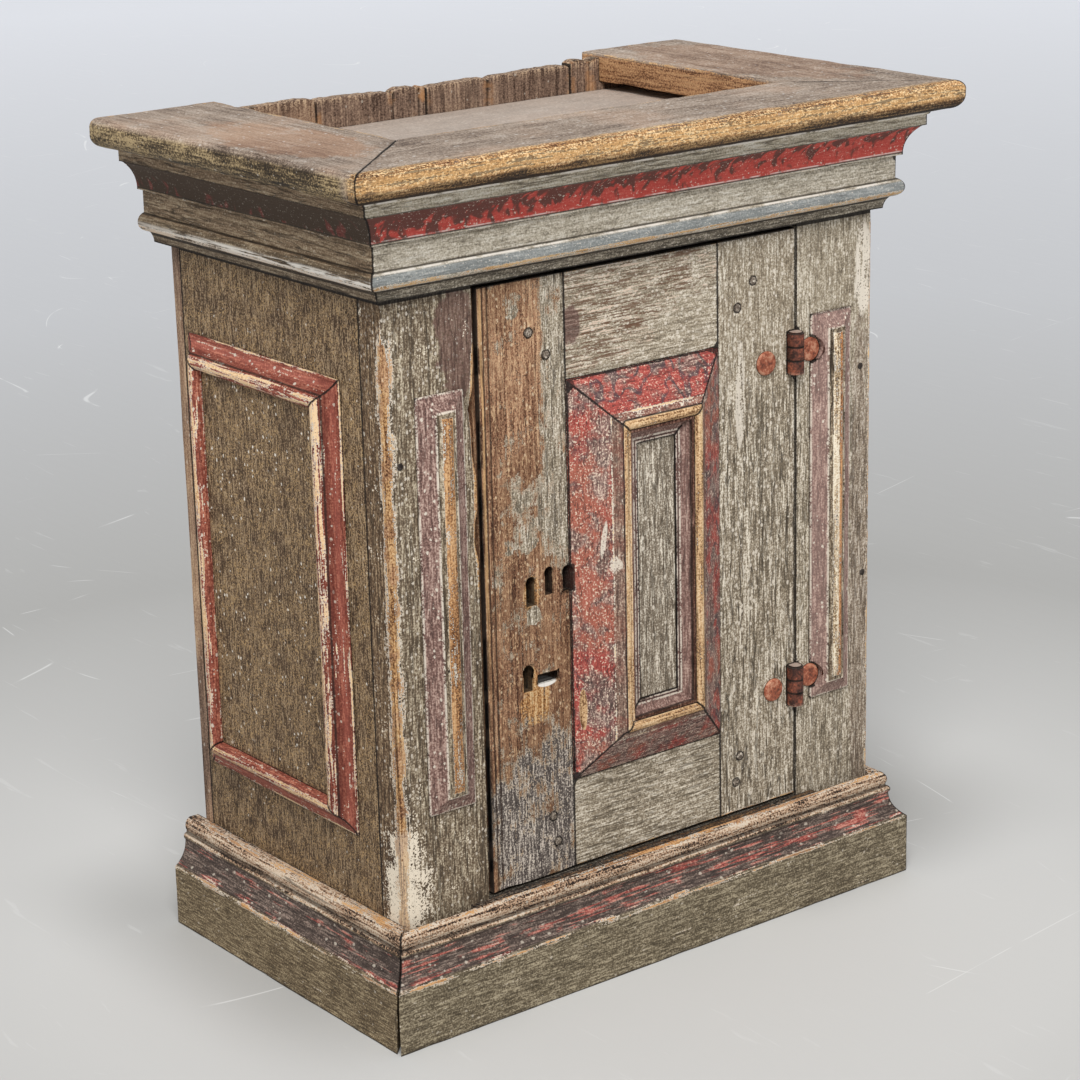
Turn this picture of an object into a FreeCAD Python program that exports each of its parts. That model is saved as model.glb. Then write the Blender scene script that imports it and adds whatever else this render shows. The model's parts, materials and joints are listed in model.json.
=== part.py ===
"""Small painted wall cabinet: a carcass with a moulded plinth and cornice, and one framed door.

Millimetres. +Z is up and the door faces -Y. The origin is under the middle of the whole cabinet,
on the surface that it stands on. Outward projections are measured from the faces of the body.
"""
import FreeCAD, Part
import math
import os

V = FreeCAD.Vector

# Carcass
HEIGHT = 800.0
BODY_WIDTH = 568.0
BODY_DEPTH = 333.5
WALL_GAP = 15.0            # plinth and cornice reach this far behind the back boards
FLOOR_LIFT = 12.0          # upright boards end this far above the ground
SIDE_THICKNESS = 22.0
FRONT_THICKNESS = 33.0     # front stiles, front rails and door
FRONT_STILE_WIDTH = 95.5
BACK_THICKNESS = 14.0
BACK_LEFT_WIDTH = 157.0
BACK_RIGHT_WIDTH = 107.0
BACK_MIDDLE_JOINT = 0.0
BACK_JOINT_GAPS = (3.0, 0.8, 0.8)
BACK_TOPS = ((6.0, 3.0), (2.0, 5.0), (6.0, 2.0), (0.5, 3.0))   # drop of each board's top corners
FLOOR_TOP = 122.0
FLOOR_THICKNESS = 20.0
DOOR_STOP_GAP = 0.4
SHELF_TOP = 418.0
SHELF_THICKNESS = 18.0
SHELF_SETBACK = 26.0
CLEAT_SECTION = 20.0
CEILING_THICKNESS = 18.0
RECESS_DEPTH = 35.0        # from the top boards down to the ceiling board

# Plinth
PLINTH_HEIGHT = 107.0
PLINTH_REACH = 30.0
PLINTH_FLAT = 60.0
PLINTH_SHOULDER_REACH = 16.5
PLINTH_SHOULDER = 85.0
PLINTH_FILLET = 6.5
PLINTH_FILLET_ROUND = 1.5
PLINTH_HOLLOW = 3.5
PLINTH_NECK_STEP = 2.0
PLINTH_NECK_SLOPE = 1.0
PLINTH_NECK_HEIGHT = 3.0
PLINTH_BEAD_TOP_REACH = 10.0
PLINTH_BEAD_ROUND = 3.0
SILL_THICKNESS = 7.5
SILL_LENGTH = 420.0
SILL_DEPTH = 40.0
MITRE_OPENING = 4.0        # shrunken corner joint of the plinth, at the ground

# Cornice
FRIEZE_HEIGHT = 51.0
FRIEZE_REACH = 16.5
NECK_FOOT_REACH = 8.5
NECK_REACH = 14.0
NECK_HEIGHT = 12.0
NECK_HOLLOW = 1.5
NECK_BEAD = 17.0
NECK_BEAD_ROUND = 6.5
CROWN_HEIGHT = 43.0
CROWN_FOOT_REACH = 21.0
CROWN_FOOT = 2.0
CROWN_COVE = 26.0
CROWN_HOLLOW = 3.5
CROWN_REACH = 36.5
CROWN_STEP = 2.0
CROWN_FILLET = 10.0
CROWN_BEAD_ROUND = 2.4

# Top boards
TOP_THICKNESS = 27.0
TOP_REACH = 62.0
TOP_LEFT_WIDTH = 126.0
TOP_RIGHT_WIDTH = 131.0
TOP_FRONT_WIDTH = 118.0
TOP_UPPER_ROUND = 8.0
TOP_LOWER_ROUND = 13.0

# Moulded strips on the front stiles
STRIP_WIDTH = 51.0
STRIP_FOOT_GAP = 98.0      # above the plinth
STRIP_TOP_GAP = 90.0       # below the frieze
STRIP_INSETS = (56.5, 53.0)   # from the body's left and right edge to the strip's middle
STRIP_EDGE = 2.5
STRIP_COVE = 15.5
STRIP_HOLLOW = 1.6
STRIP_QUIRK_WIDTH = 1.5
STRIP_QUIRK_DEPTH = 1.0
STRIP_SHOULDER = 12.0
STRIP_CREST = 15.0

# Raised panels on the sides
SIDE_PANEL_FOOT_GAP = 68.0   # above the plinth
SIDE_PANEL_TOP_GAP = 80.0    # below the frieze
SIDE_PANEL_FRONT_GAP = 64.0
SIDE_PANEL_REAR_GAP = 23.5
SIDE_MOULDING_WIDTH = 29.0
SIDE_MOULDING_EDGE = 2.5
SIDE_MOULDING_HOLLOW = 1.8
SIDE_MOULDING_QUIRK = 15.5
SIDE_QUIRK_WIDTH = 1.0
SIDE_QUIRK_DEPTH = 0.8
SIDE_MOULDING_SHOULDER = 12.5
SIDE_MOULDING_INNER = 11.0
SIDE_BEAD_RISE = 5.5
SIDE_FIELD_THICKNESS = 8.0

# Door
DOOR_LOCK_GAP = 4.5
DOOR_HINGE_GAP = 1.5
DOOR_TOP_GAP = 5.0
DOOR_FOOT_GAP = 3.5
DOOR_STILE_WIDTH = 96.0
DOOR_TOP_RAIL_WIDTH = 98.0
DOOR_BOTTOM_RAIL_WIDTH = 86.5
TENON_LENGTH = 56.0
TENON_THICKNESS = 11.0
TENON_SHOULDER = 16.0
TENON_CLEARANCE = 0.2
PEG_RADIUS = 4.0
PEG_CLEARANCE = 0.1
PEG_PROUD = 0.6
PEG_PLACES = {             # left and right joint: from the shoulder into the stile, above the tenon's middle
    "door_top_rail": (((40.0, 0.5), (21.0, -22.0)), ((24.0, -16.0), (43.5, 6.8))),
    "door_bottom_rail": (((20.0, -13.0), (25.0, 13.0)), ((20.0, -13.0), (25.0, 13.0))),
}
BORDER_WIDTH = 50.0
BORDER_CREST = 8.5
BORDER_EDGE = 1.5
BORDER_RISE = 26.0
BORDER_CREST_ROUND = 3.0
BORDER_QUIRK_WIDTH = 0.6
BORDER_QUIRK_DEPTH = 1.2
BORDER_BACK = 20.0
BORDER_LIP = 8.0
FIELD_THICKNESS = 15.5
INNER_BEAD_WIDTH = 17.5
INNER_BEAD_EDGE = 1.5
INNER_BEAD_RISE = 9.5
INNER_BEAD_FLAT = 4.0
INNER_BEAD_STEP = 1.0
INNER_BEAD_HOLLOW = 1.8

# Keyholes: distance from the door's lock edge, height of the middle, width, length
KEYHOLES = ((51.8, 388.5, 12.8, 28.5), (72.5, 394.5, 11.5, 27.0), (46.5, 306.5, 13.6, 25.5))
KEYHOLE_SLOT_SHARE = 0.88  # width of the slot over the width of the round head
JOINT_KEYHOLE_WIDTH = 11.0
JOINT_KEYHOLE_LENGTH = 24.0
JOINT_KEYHOLE_Z = 393.0
JOINT_KEYHOLE_SHIFT = 3.0  # from the stile's edge towards the lock edge
SCAR_LENGTH = 23.0
SCAR_WIDTH = 8.0
SCAR_DEPTH = 9.0
SCAR_FROM_EDGE = 68.5
SCAR_Z = 304.0

# Hinges
HINGE_ABOVE_FOOT = 113.5   # from the door's foot to the lower hinge's middle
HINGE_BELOW_TOP = 118.5    # from the door's top to the upper hinge's middle
HINGE_PROUD = 4.0          # from the front face out to the pin's axis
HINGE_INSET = 2.5          # from the door's edge in to the pin's axis
KNUCKLE_RADIUS = 8.0
KNUCKLE_HEIGHT = 12.8
KNUCKLE_GAP = 0.4
KNUCKLE_CLEARANCE = 0.5    # between a knuckle and the wood round it
PIN_RADIUS = 3.5
PIN_CLEARANCE = 0.06
PIN_HEAD_RADIUS = 7.0
PIN_HEAD_HEIGHT = 1.2
LEAF_THICKNESS = 2.2
LEAF_DEPTH = 10.0          # from the front face to the hidden leaf
DOOR_LEAF_REACH = 46.0
STILE_LEAF_REACH = 28.0
LEAF_CLEARANCE = 0.2
DOOR_NAIL_INSETS = (28.7, 37.3)
DOOR_NAIL_RISES = (0.5, -4.7)
STILE_NAIL_INSET = 16.5
STILE_NAIL_RISES = (5.0, 0.0)
ROSETTE_RADIUS = 11.5
ROSETTE_HEIGHT = 3.2
ROSETTE_ROUND = 2.2
ROSETTE_CLEARANCE = 1.2    # notch in the moulded strip beside a nail head
NAIL_RADIUS = 2.2
NAIL_LENGTH = 24.0
NAIL_CLEARANCE = 0.1

# Lock
LOCK_WIDTH = 84.0
LOCK_HEIGHT = 92.0
LOCK_INSET = 6.0
LOCK_THICKNESS = 2.0
BOLT_LENGTH = 80.0
BOLT_HEIGHT = 14.0
BOLT_THICKNESS = 6.0
BOLT_INSET = 1.5           # bolt's end inside the door's edge when drawn back
BOLT_ABOVE_KEY = 24.0
BOLT_CLEARANCE = 0.3
GUIDE_WIDTH = 9.0
GUIDE_THICKNESS = 2.5
GUIDE_FOOT = 6.0
GUIDE_INSET = 12.0
LOCK_NAIL_INSET = 7.0
LOCK_NAIL_RADIUS = 1.8
LOCK_NAIL_HEAD = 4.2
LOCK_NAIL_HEAD_HEIGHT = 1.8
LOCK_NAIL_LENGTH = 16.0

# Holes for two wall hooks, just under the ceiling board
HOOK_HOLE_RADIUS = 3.5
HOOK_INSET = 84.0          # from the body's edge, in the outer back boards
HOOK_DROP = 32.0           # below the ceiling board

# Places that follow from the sizes above
HALF = BODY_WIDTH / 2
INSIDE = HALF - SIDE_THICKNESS
WALL = (BODY_DEPTH + TOP_REACH + WALL_GAP) / 2
BODY_REAR = WALL - WALL_GAP
BODY_FRONT = BODY_REAR - BODY_DEPTH
FRONT_REAR = BODY_FRONT + FRONT_THICKNESS
BACK_FRONT = BODY_REAR - BACK_THICKNESS
BODY_TOP = HEIGHT - TOP_THICKNESS
FRIEZE_TOP = BODY_TOP - CROWN_HEIGHT
FRIEZE_FOOT = FRIEZE_TOP - FRIEZE_HEIGHT
CEILING_TOP = HEIGHT - RECESS_DEPTH
CEILING_FOOT = CEILING_TOP - CEILING_THICKNESS
OPENING = HALF - FRONT_STILE_WIDTH
DOOR_LEFT = DOOR_LOCK_GAP - OPENING
DOOR_RIGHT = OPENING - DOOR_HINGE_GAP
DOOR_FOOT = PLINTH_HEIGHT + DOOR_FOOT_GAP
DOOR_TOP = FRIEZE_FOOT - DOOR_TOP_GAP
PANEL_LEFT = DOOR_LEFT + DOOR_STILE_WIDTH
PANEL_RIGHT = DOOR_RIGHT - DOOR_STILE_WIDTH
PANEL_FOOT = DOOR_FOOT + DOOR_BOTTOM_RAIL_WIDTH
PANEL_TOP = DOOR_TOP - DOOR_TOP_RAIL_WIDTH
STRIP_FOOT = PLINTH_HEIGHT + STRIP_FOOT_GAP
STRIP_LENGTH = FRIEZE_FOOT - STRIP_TOP_GAP - STRIP_FOOT
SIDE_PANEL_FOOT = PLINTH_HEIGHT + SIDE_PANEL_FOOT_GAP
SIDE_PANEL_HEIGHT = FRIEZE_FOOT - SIDE_PANEL_TOP_GAP - SIDE_PANEL_FOOT
SIDE_PANEL_WIDTH = BODY_DEPTH - SIDE_PANEL_FRONT_GAP - SIDE_PANEL_REAR_GAP
HINGE_HEIGHTS = (DOOR_FOOT + HINGE_ABOVE_FOOT, DOOR_TOP - HINGE_BELOW_TOP)
HINGE_X = DOOR_RIGHT - HINGE_INSET
HINGE_Y = BODY_FRONT - HINGE_PROUD
HINGE_HEIGHT = 3 * KNUCKLE_HEIGHT + 2 * KNUCKLE_GAP
MARGIN = 10.0              # cutters run this far past what they cut


def box(x0, x1, y0, y1, z0, z1):
    """Board with square edges."""
    return Part.makeBox(x1 - x0, y1 - y0, z1 - z0, V(x0, y0, z0))


def face_of(points, place):
    """Closed face: (a, b) is reached by a line, (a, b, rise) by an arc that swells by rise."""
    edges = []
    here = points[0]
    for step in list(points[1:]) + [points[0][:2]]:
        start = place(here[0], here[1])
        end = place(step[0], step[1])
        if len(step) == 3:
            run = (step[0] - here[0], step[1] - here[1])
            length = math.hypot(*run)
            middle = place((here[0] + step[0]) / 2 + step[2] * run[1] / length,
                           (here[1] + step[1]) / 2 - step[2] * run[0] / length)
            edges.append(Part.Arc(start, middle, end).toShape())
        else:
            edges.append(Part.LineSegment(start, end).toShape())
        here = step
    return Part.Face(Part.Wire(edges))


def plan_prism(points, z0, z1):
    """Upright prism over an outline in X and Y."""
    return face_of(points, lambda x, y: V(x, y, z0)).extrude(V(0, 0, z1 - z0))


def front_prism(points, y0, y1):
    """Prism along Y over an outline in X and Z."""
    return face_of(points, lambda x, z: V(x, y0, z)).extrude(V(0, y1 - y0, 0))


def cylinder_y(x, z, radius, y0, y1):
    """Round bar along Y."""
    return Part.makeCylinder(radius, y1 - y0, V(x, y0, z), V(0, 1, 0))


def mirrored(shape):
    """The same piece for the other side of the cabinet."""
    return shape.mirror(V(0, 0, 0), V(1, 0, 0))


def mitred_run(profile, reach):
    """Front, left and right lengths of a moulding round the body, mitred at the front corners.

    The profile gives (projection from the body, height).
    """
    far = reach + MARGIN
    low = min(point[1] for point in profile)
    high = max(point[1] for point in profile)
    corner = (-HALF, BODY_FRONT)
    tip = (-HALF - far, BODY_FRONT - far)
    front_plan = [corner, tip, (-tip[0], tip[1]), (-corner[0], corner[1])]
    left_plan = [corner, (corner[0], WALL), (tip[0], WALL), tip]
    front = face_of(profile, lambda out, z: V(tip[0], BODY_FRONT - out, z)).extrude(V(-2 * tip[0], 0, 0))
    left = face_of(profile, lambda out, z: V(-HALF - out, tip[1], z)).extrude(V(0, WALL - tip[1], 0))
    front = front.common(plan_prism(front_plan, low, high))
    left = left.common(plan_prism(left_plan, low, high))
    return front, left, mirrored(left)


def mitred_frame(width, height, depth, profile):
    """Left, right, bottom and top of a mitred frame about the origin, facing -Y.

    The profile gives (distance in from the outer edge, projection from the face).
    """
    half_width = width / 2
    half_height = height / 2
    corner = (-half_width, -half_height)
    inner = (depth - half_width, depth - half_height)
    near = -MARGIN - max(point[1] for point in profile)
    far = MARGIN - min(point[1] for point in profile)
    left = face_of(profile, lambda inset, out: V(inset - half_width, -out, -half_height))
    left = left.extrude(V(0, 0, height))
    left_plan = [corner, inner, (inner[0], -inner[1]), (corner[0], -corner[1])]
    left = left.common(front_prism(left_plan, near, far))
    foot = face_of(profile, lambda inset, out: V(-half_width, -out, inset - half_height))
    foot = foot.extrude(V(width, 0, 0))
    foot_plan = [corner, (-corner[0], corner[1]), (-inner[0], inner[1]), inner]
    foot = foot.common(front_prism(foot_plan, near, far))
    return left, mirrored(left), foot, foot.mirror(V(0, 0, 0), V(0, 0, 1))


def placed(shape, x, y, z, turn=0.0):
    """Copy turned about +Z and moved."""
    shape = shape.copy()
    shape.rotate(V(0, 0, 0), V(0, 0, 1), turn)
    shape.translate(V(x, y, z))
    return shape


def carcass():
    """Upright boards, floor, shelf, ceiling and the front frame round the door."""
    side = box(-HALF, -INSIDE, FRONT_REAR, BACK_FRONT, FLOOR_LIFT, BODY_TOP)
    stile = box(-HALF, -OPENING, BODY_FRONT, FRONT_REAR, FLOOR_LIFT, BODY_TOP)
    shelf_front = FRONT_REAR + SHELF_SETBACK
    shelf_foot = SHELF_TOP - SHELF_THICKNESS
    cleat = box(-INSIDE, CLEAT_SECTION - INSIDE, shelf_front, BACK_FRONT,
                shelf_foot - CLEAT_SECTION, shelf_foot)
    floor_front = FRONT_REAR + DOOR_STOP_GAP
    return {
        "side_board_left": side,
        "side_board_right": mirrored(side),
        "front_stile_left": stile,
        "front_stile_right": mirrored(stile),
        "front_top_rail": box(-OPENING, OPENING, BODY_FRONT, FRONT_REAR, FRIEZE_FOOT, BODY_TOP),
        "front_bottom_rail": box(-OPENING, OPENING, BODY_FRONT, FRONT_REAR, FLOOR_LIFT, PLINTH_HEIGHT),
        "floor_board": box(-INSIDE, INSIDE, floor_front, BACK_FRONT, FLOOR_TOP - FLOOR_THICKNESS, FLOOR_TOP),
        "shelf": box(-INSIDE, INSIDE, shelf_front, BACK_FRONT, shelf_foot, SHELF_TOP),
        "shelf_cleats": Part.makeCompound([cleat, mirrored(cleat)]),
        "ceiling_board": box(-INSIDE, INSIDE, FRONT_REAR, BACK_FRONT, CEILING_FOOT, CEILING_TOP),
    }


def top_boards():
    """Three boards mitred corner to corner, open at the back over a shallow recess."""
    edge = HALF + TOP_REACH
    nose = BODY_FRONT - TOP_REACH
    inner = nose + TOP_FRONT_WIDTH
    recess_left = TOP_LEFT_WIDTH - edge
    recess_right = edge - TOP_RIGHT_WIDTH
    quarter_rise = 1 - math.sqrt(0.5)
    profile = [(0.0, BODY_TOP), (edge - TOP_LOWER_ROUND, BODY_TOP),
               (edge, BODY_TOP + TOP_LOWER_ROUND, TOP_LOWER_ROUND * quarter_rise),
               (edge, HEIGHT - TOP_UPPER_ROUND),
               (edge - TOP_UPPER_ROUND, HEIGHT, TOP_UPPER_ROUND * quarter_rise), (0.0, HEIGHT)]
    left_plan = [(-edge, nose), (recess_left, inner), (recess_left, WALL), (-edge, WALL)]
    right_plan = [(edge, nose), (edge, WALL), (recess_right, WALL), (recess_right, inner)]
    front_plan = [(-edge, nose), (edge, nose), (recess_right, inner), (recess_left, inner)]
    left = face_of(profile, lambda out, z: V(-out, nose, z)).extrude(V(0, WALL - nose, 0))
    right = face_of(profile, lambda out, z: V(out, nose, z)).extrude(V(0, WALL - nose, 0))
    front = face_of(profile, lambda out, z: V(-edge, nose + edge - out, z)).extrude(V(2 * edge, 0, 0))
    return {
        "top_board_left": left.common(plan_prism(left_plan, BODY_TOP, HEIGHT)),
        "top_board_right": right.common(plan_prism(right_plan, BODY_TOP, HEIGHT)),
        "top_board_front": front.common(plan_prism(front_plan, BODY_TOP, HEIGHT)),
    }


def back_boards(tops):
    """Upright back boards with uneven tops, notched round the side top boards."""
    edges = [-HALF, BACK_LEFT_WIDTH - HALF, BACK_MIDDLE_JOINT, HALF - BACK_RIGHT_WIDTH, HALF]
    gaps = [0.0] + list(BACK_JOINT_GAPS) + [0.0]
    hook_z = CEILING_FOOT - HOOK_DROP
    boards = {}
    for index, drops in enumerate(BACK_TOPS):
        left = edges[index] + gaps[index] / 2
        right = edges[index + 1] - gaps[index + 1] / 2
        outline = [(left, FLOOR_LIFT), (right, FLOOR_LIFT),
                   (right, HEIGHT - drops[1]), (left, HEIGHT - drops[0])]
        board = front_prism(outline, BACK_FRONT, BODY_REAR)
        board = board.cut(tops["top_board_left"]).cut(tops["top_board_right"])
        for hook_x in (HOOK_INSET - HALF, HALF - HOOK_INSET):
            hole = cylinder_y(hook_x, hook_z, HOOK_HOLE_RADIUS, BACK_FRONT - MARGIN, BODY_REAR + MARGIN)
            board = board.cut(hole)
        boards["back_board_%d" % (index + 1)] = board
    return boards


def plinth():
    """Moulded base boards, and the sill strip between the front one and the body."""
    fillet_top = PLINTH_SHOULDER + PLINTH_FILLET
    neck = PLINTH_SHOULDER_REACH - PLINTH_NECK_STEP

    def profile(back):
        return [(back, 0.0), (PLINTH_REACH, 0.0), (PLINTH_REACH, PLINTH_FLAT),
                (PLINTH_SHOULDER_REACH, PLINTH_SHOULDER, -PLINTH_HOLLOW),
                (PLINTH_SHOULDER_REACH, fillet_top, PLINTH_FILLET_ROUND),
                (neck, fillet_top + PLINTH_NECK_SLOPE), (neck, fillet_top + PLINTH_NECK_HEIGHT),
                (PLINTH_BEAD_TOP_REACH, PLINTH_HEIGHT, PLINTH_BEAD_ROUND), (back, PLINTH_HEIGHT)]

    front = mitred_run(profile(SILL_THICKNESS), PLINTH_REACH)[0]
    left, right = mitred_run(profile(0.0), PLINTH_REACH)[1:]
    corner = V(-HALF - PLINTH_REACH, BODY_FRONT - PLINTH_REACH, 0)
    shrink = V(-1, 1, 0) * (MITRE_OPENING / math.sqrt(2))
    wedge = Part.Face(Part.makePolygon([corner, corner + shrink, corner + V(0, 0, PLINTH_HEIGHT), corner]))
    wedge.translate(V(-1, -1, 0) * MARGIN)
    left = left.cut(wedge.extrude(V(1, 1, 0) * (PLINTH_REACH + 2 * MARGIN)))
    return {
        "plinth_front": front,
        "plinth_left": left,
        "plinth_right": right,
        "door_sill": box(-SILL_LENGTH / 2, SILL_LENGTH / 2, BODY_FRONT - SILL_THICKNESS, BODY_FRONT,
                         PLINTH_HEIGHT - SILL_DEPTH, PLINTH_HEIGHT),
    }


def cornice():
    """Frieze boards with a bead at their foot, and the coved crown above them."""
    bead_foot = FRIEZE_FOOT + NECK_HEIGHT
    bead_top = bead_foot + NECK_BEAD
    frieze = [(0.0, FRIEZE_FOOT), (NECK_FOOT_REACH, FRIEZE_FOOT), (NECK_REACH, bead_foot, -NECK_HOLLOW),
              (FRIEZE_REACH, bead_foot), (FRIEZE_REACH, bead_top, NECK_BEAD_ROUND),
              (FRIEZE_REACH, FRIEZE_TOP), (0.0, FRIEZE_TOP)]
    cove_foot = FRIEZE_TOP + CROWN_FOOT
    cove_top = cove_foot + CROWN_COVE
    fillet_top = cove_top + CROWN_FILLET
    crown = [(0.0, FRIEZE_TOP), (CROWN_FOOT_REACH, FRIEZE_TOP), (CROWN_FOOT_REACH, cove_foot),
             (CROWN_REACH - CROWN_STEP, cove_top, -CROWN_HOLLOW), (CROWN_REACH, cove_top),
             (CROWN_REACH, fillet_top), (CROWN_REACH, BODY_TOP, CROWN_BEAD_ROUND), (0.0, BODY_TOP)]
    pieces = {}
    for name, profile, reach in (("frieze", frieze, FRIEZE_REACH), ("crown", crown, CROWN_REACH)):
        for side, piece in zip(("front", "left", "right"), mitred_run(profile, reach)):
            pieces["%s_%s" % (name, side)] = piece
    return pieces


def strip():
    """Raised strip with coved edges all round and a rounded crest, facing -Y about the origin."""
    half_width = STRIP_WIDTH / 2
    half_length = STRIP_LENGTH / 2
    shoulder = half_width - STRIP_COVE
    crest = shoulder - STRIP_QUIRK_WIDTH
    quirk = STRIP_SHOULDER - STRIP_QUIRK_DEPTH
    across = [(-half_width, 0.0), (half_width, 0.0), (half_width, STRIP_EDGE),
              (shoulder, STRIP_SHOULDER, -STRIP_HOLLOW), (crest, quirk),
              (-crest, quirk, STRIP_CREST - quirk),
              (-shoulder, STRIP_SHOULDER), (-half_width, STRIP_EDGE, -STRIP_HOLLOW)]
    flat = half_length - STRIP_COVE
    along = [(-half_length, 0.0), (half_length, 0.0), (half_length, STRIP_EDGE),
             (flat, STRIP_SHOULDER, -STRIP_HOLLOW), (flat - STRIP_COVE, STRIP_CREST),
             (STRIP_COVE - flat, STRIP_CREST), (-flat, STRIP_SHOULDER),
             (-half_length, STRIP_EDGE, -STRIP_HOLLOW)]
    length_run = face_of(across, lambda x, out: V(x, -out, -half_length)).extrude(V(0, 0, STRIP_LENGTH))
    width_run = face_of(along, lambda z, out: V(-half_width, -out, z)).extrude(V(STRIP_WIDTH, 0, 0))
    return length_run.common(width_run)


def side_panels():
    """Raised field and mitred moulding on the outside of each side board."""
    profile = [(0.0, 0.0), (SIDE_MOULDING_WIDTH, 0.0), (SIDE_MOULDING_WIDTH, SIDE_MOULDING_INNER),
               (SIDE_MOULDING_QUIRK + SIDE_QUIRK_WIDTH, SIDE_MOULDING_SHOULDER, SIDE_BEAD_RISE),
               (SIDE_MOULDING_QUIRK, SIDE_MOULDING_SHOULDER - SIDE_QUIRK_DEPTH),
               (0.0, SIDE_MOULDING_EDGE, -SIDE_MOULDING_HOLLOW)]
    frame = mitred_frame(SIDE_PANEL_WIDTH, SIDE_PANEL_HEIGHT, SIDE_MOULDING_WIDTH, profile)
    half_width = SIDE_PANEL_WIDTH / 2 - SIDE_MOULDING_WIDTH
    half_height = SIDE_PANEL_HEIGHT / 2 - SIDE_MOULDING_WIDTH
    field = box(-half_width, half_width, -SIDE_FIELD_THICKNESS, 0.0, -half_height, half_height)
    middle = BODY_FRONT + SIDE_PANEL_FRONT_GAP + SIDE_PANEL_WIDTH / 2
    centre_z = SIDE_PANEL_FOOT + SIDE_PANEL_HEIGHT / 2
    pieces = {}
    for side, sign, names in (("left", -1, ("back", "front", "bottom", "top")),
                              ("right", 1, ("front", "back", "bottom", "top"))):
        turn = 90.0 * sign
        pieces["side_field_%s" % side] = placed(field, sign * HALF, middle, centre_z, turn)
        for name, piece in zip(names, frame):
            pieces["side_moulding_%s_%s" % (side, name)] = placed(piece, sign * HALF, middle, centre_z, turn)
    return pieces


def keyhole(x, z, width, length, y0, y1):
    """Cutter for a keyhole: a round head over a narrower slot."""
    head_z = z + length / 2 - width / 2
    slot_half = KEYHOLE_SLOT_SHARE * width / 2
    slot = box(x - slot_half, x + slot_half, y0, y1, z - length / 2, head_z)
    return slot.fuse(cylinder_y(x, head_z, width / 2, y0, y1))


def door_frame():
    """Two stiles, two tenoned rails and the pegs through their joints."""
    tenon_front = BODY_FRONT + (FRONT_THICKNESS - TENON_THICKNESS) / 2
    tenon_rear = tenon_front + TENON_THICKNESS
    front = BODY_FRONT - MARGIN
    rear = FRONT_REAR + MARGIN
    stiles = {
        "door_lock_stile": box(DOOR_LEFT, PANEL_LEFT, BODY_FRONT, FRONT_REAR, DOOR_FOOT, DOOR_TOP),
        "door_hinge_stile": box(PANEL_RIGHT, DOOR_RIGHT, BODY_FRONT, FRONT_REAR, DOOR_FOOT, DOOR_TOP),
    }
    rails = {
        "door_top_rail": box(PANEL_LEFT, PANEL_RIGHT, BODY_FRONT, FRONT_REAR, PANEL_TOP, DOOR_TOP),
        "door_bottom_rail": box(PANEL_LEFT, PANEL_RIGHT, BODY_FRONT, FRONT_REAR, DOOR_FOOT, PANEL_FOOT),
    }
    heights = {"door_top_rail": (PANEL_TOP, DOOR_TOP), "door_bottom_rail": (DOOR_FOOT, PANEL_FOOT)}
    pegs = []
    for rail, (foot, top) in heights.items():
        low = foot + TENON_SHOULDER
        high = top - TENON_SHOULDER
        tenon = box(PANEL_LEFT - TENON_LENGTH, PANEL_RIGHT + TENON_LENGTH, tenon_front, tenon_rear, low, high)
        rails[rail] = rails[rail].fuse(tenon).removeSplitter()
        room = TENON_CLEARANCE
        mortise = box(PANEL_LEFT - TENON_LENGTH - room, PANEL_RIGHT + TENON_LENGTH + room,
                      tenon_front - room, tenon_rear + room, low - room, high + room)
        for stile in stiles:
            stiles[stile] = stiles[stile].cut(mortise)
        for shoulder, sign, places in zip((PANEL_LEFT, PANEL_RIGHT), (-1, 1), PEG_PLACES[rail]):
            for inset, rise in places:
                x = shoulder + sign * inset
                z = (low + high) / 2 + rise
                hole = cylinder_y(x, z, PEG_RADIUS + PEG_CLEARANCE, front, rear)
                rails[rail] = rails[rail].cut(hole)
                for stile in stiles:
                    stiles[stile] = stiles[stile].cut(hole)
                pegs.append(cylinder_y(x, z, PEG_RADIUS, BODY_FRONT - PEG_PROUD, FRONT_REAR))
    for inset, z, width, length in KEYHOLES:
        hole = keyhole(DOOR_LEFT + inset, z, width, length, front, rear)
        stiles["door_lock_stile"] = stiles["door_lock_stile"].cut(hole)
    joint_hole = keyhole(PANEL_LEFT - JOINT_KEYHOLE_SHIFT, JOINT_KEYHOLE_Z, JOINT_KEYHOLE_WIDTH,
                         JOINT_KEYHOLE_LENGTH, front, rear)
    scar_x = DOOR_LEFT + SCAR_FROM_EDGE
    scar = box(scar_x - SCAR_LENGTH / 2, scar_x + SCAR_LENGTH / 2, front, BODY_FRONT + SCAR_DEPTH,
               SCAR_Z - SCAR_WIDTH / 2, SCAR_Z + SCAR_WIDTH / 2)
    stiles["door_lock_stile"] = stiles["door_lock_stile"].cut(joint_hole).cut(scar)
    pieces = dict(stiles)
    pieces.update(rails)
    pieces["door_pegs"] = Part.makeCompound(pegs)
    return pieces, joint_hole


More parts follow.
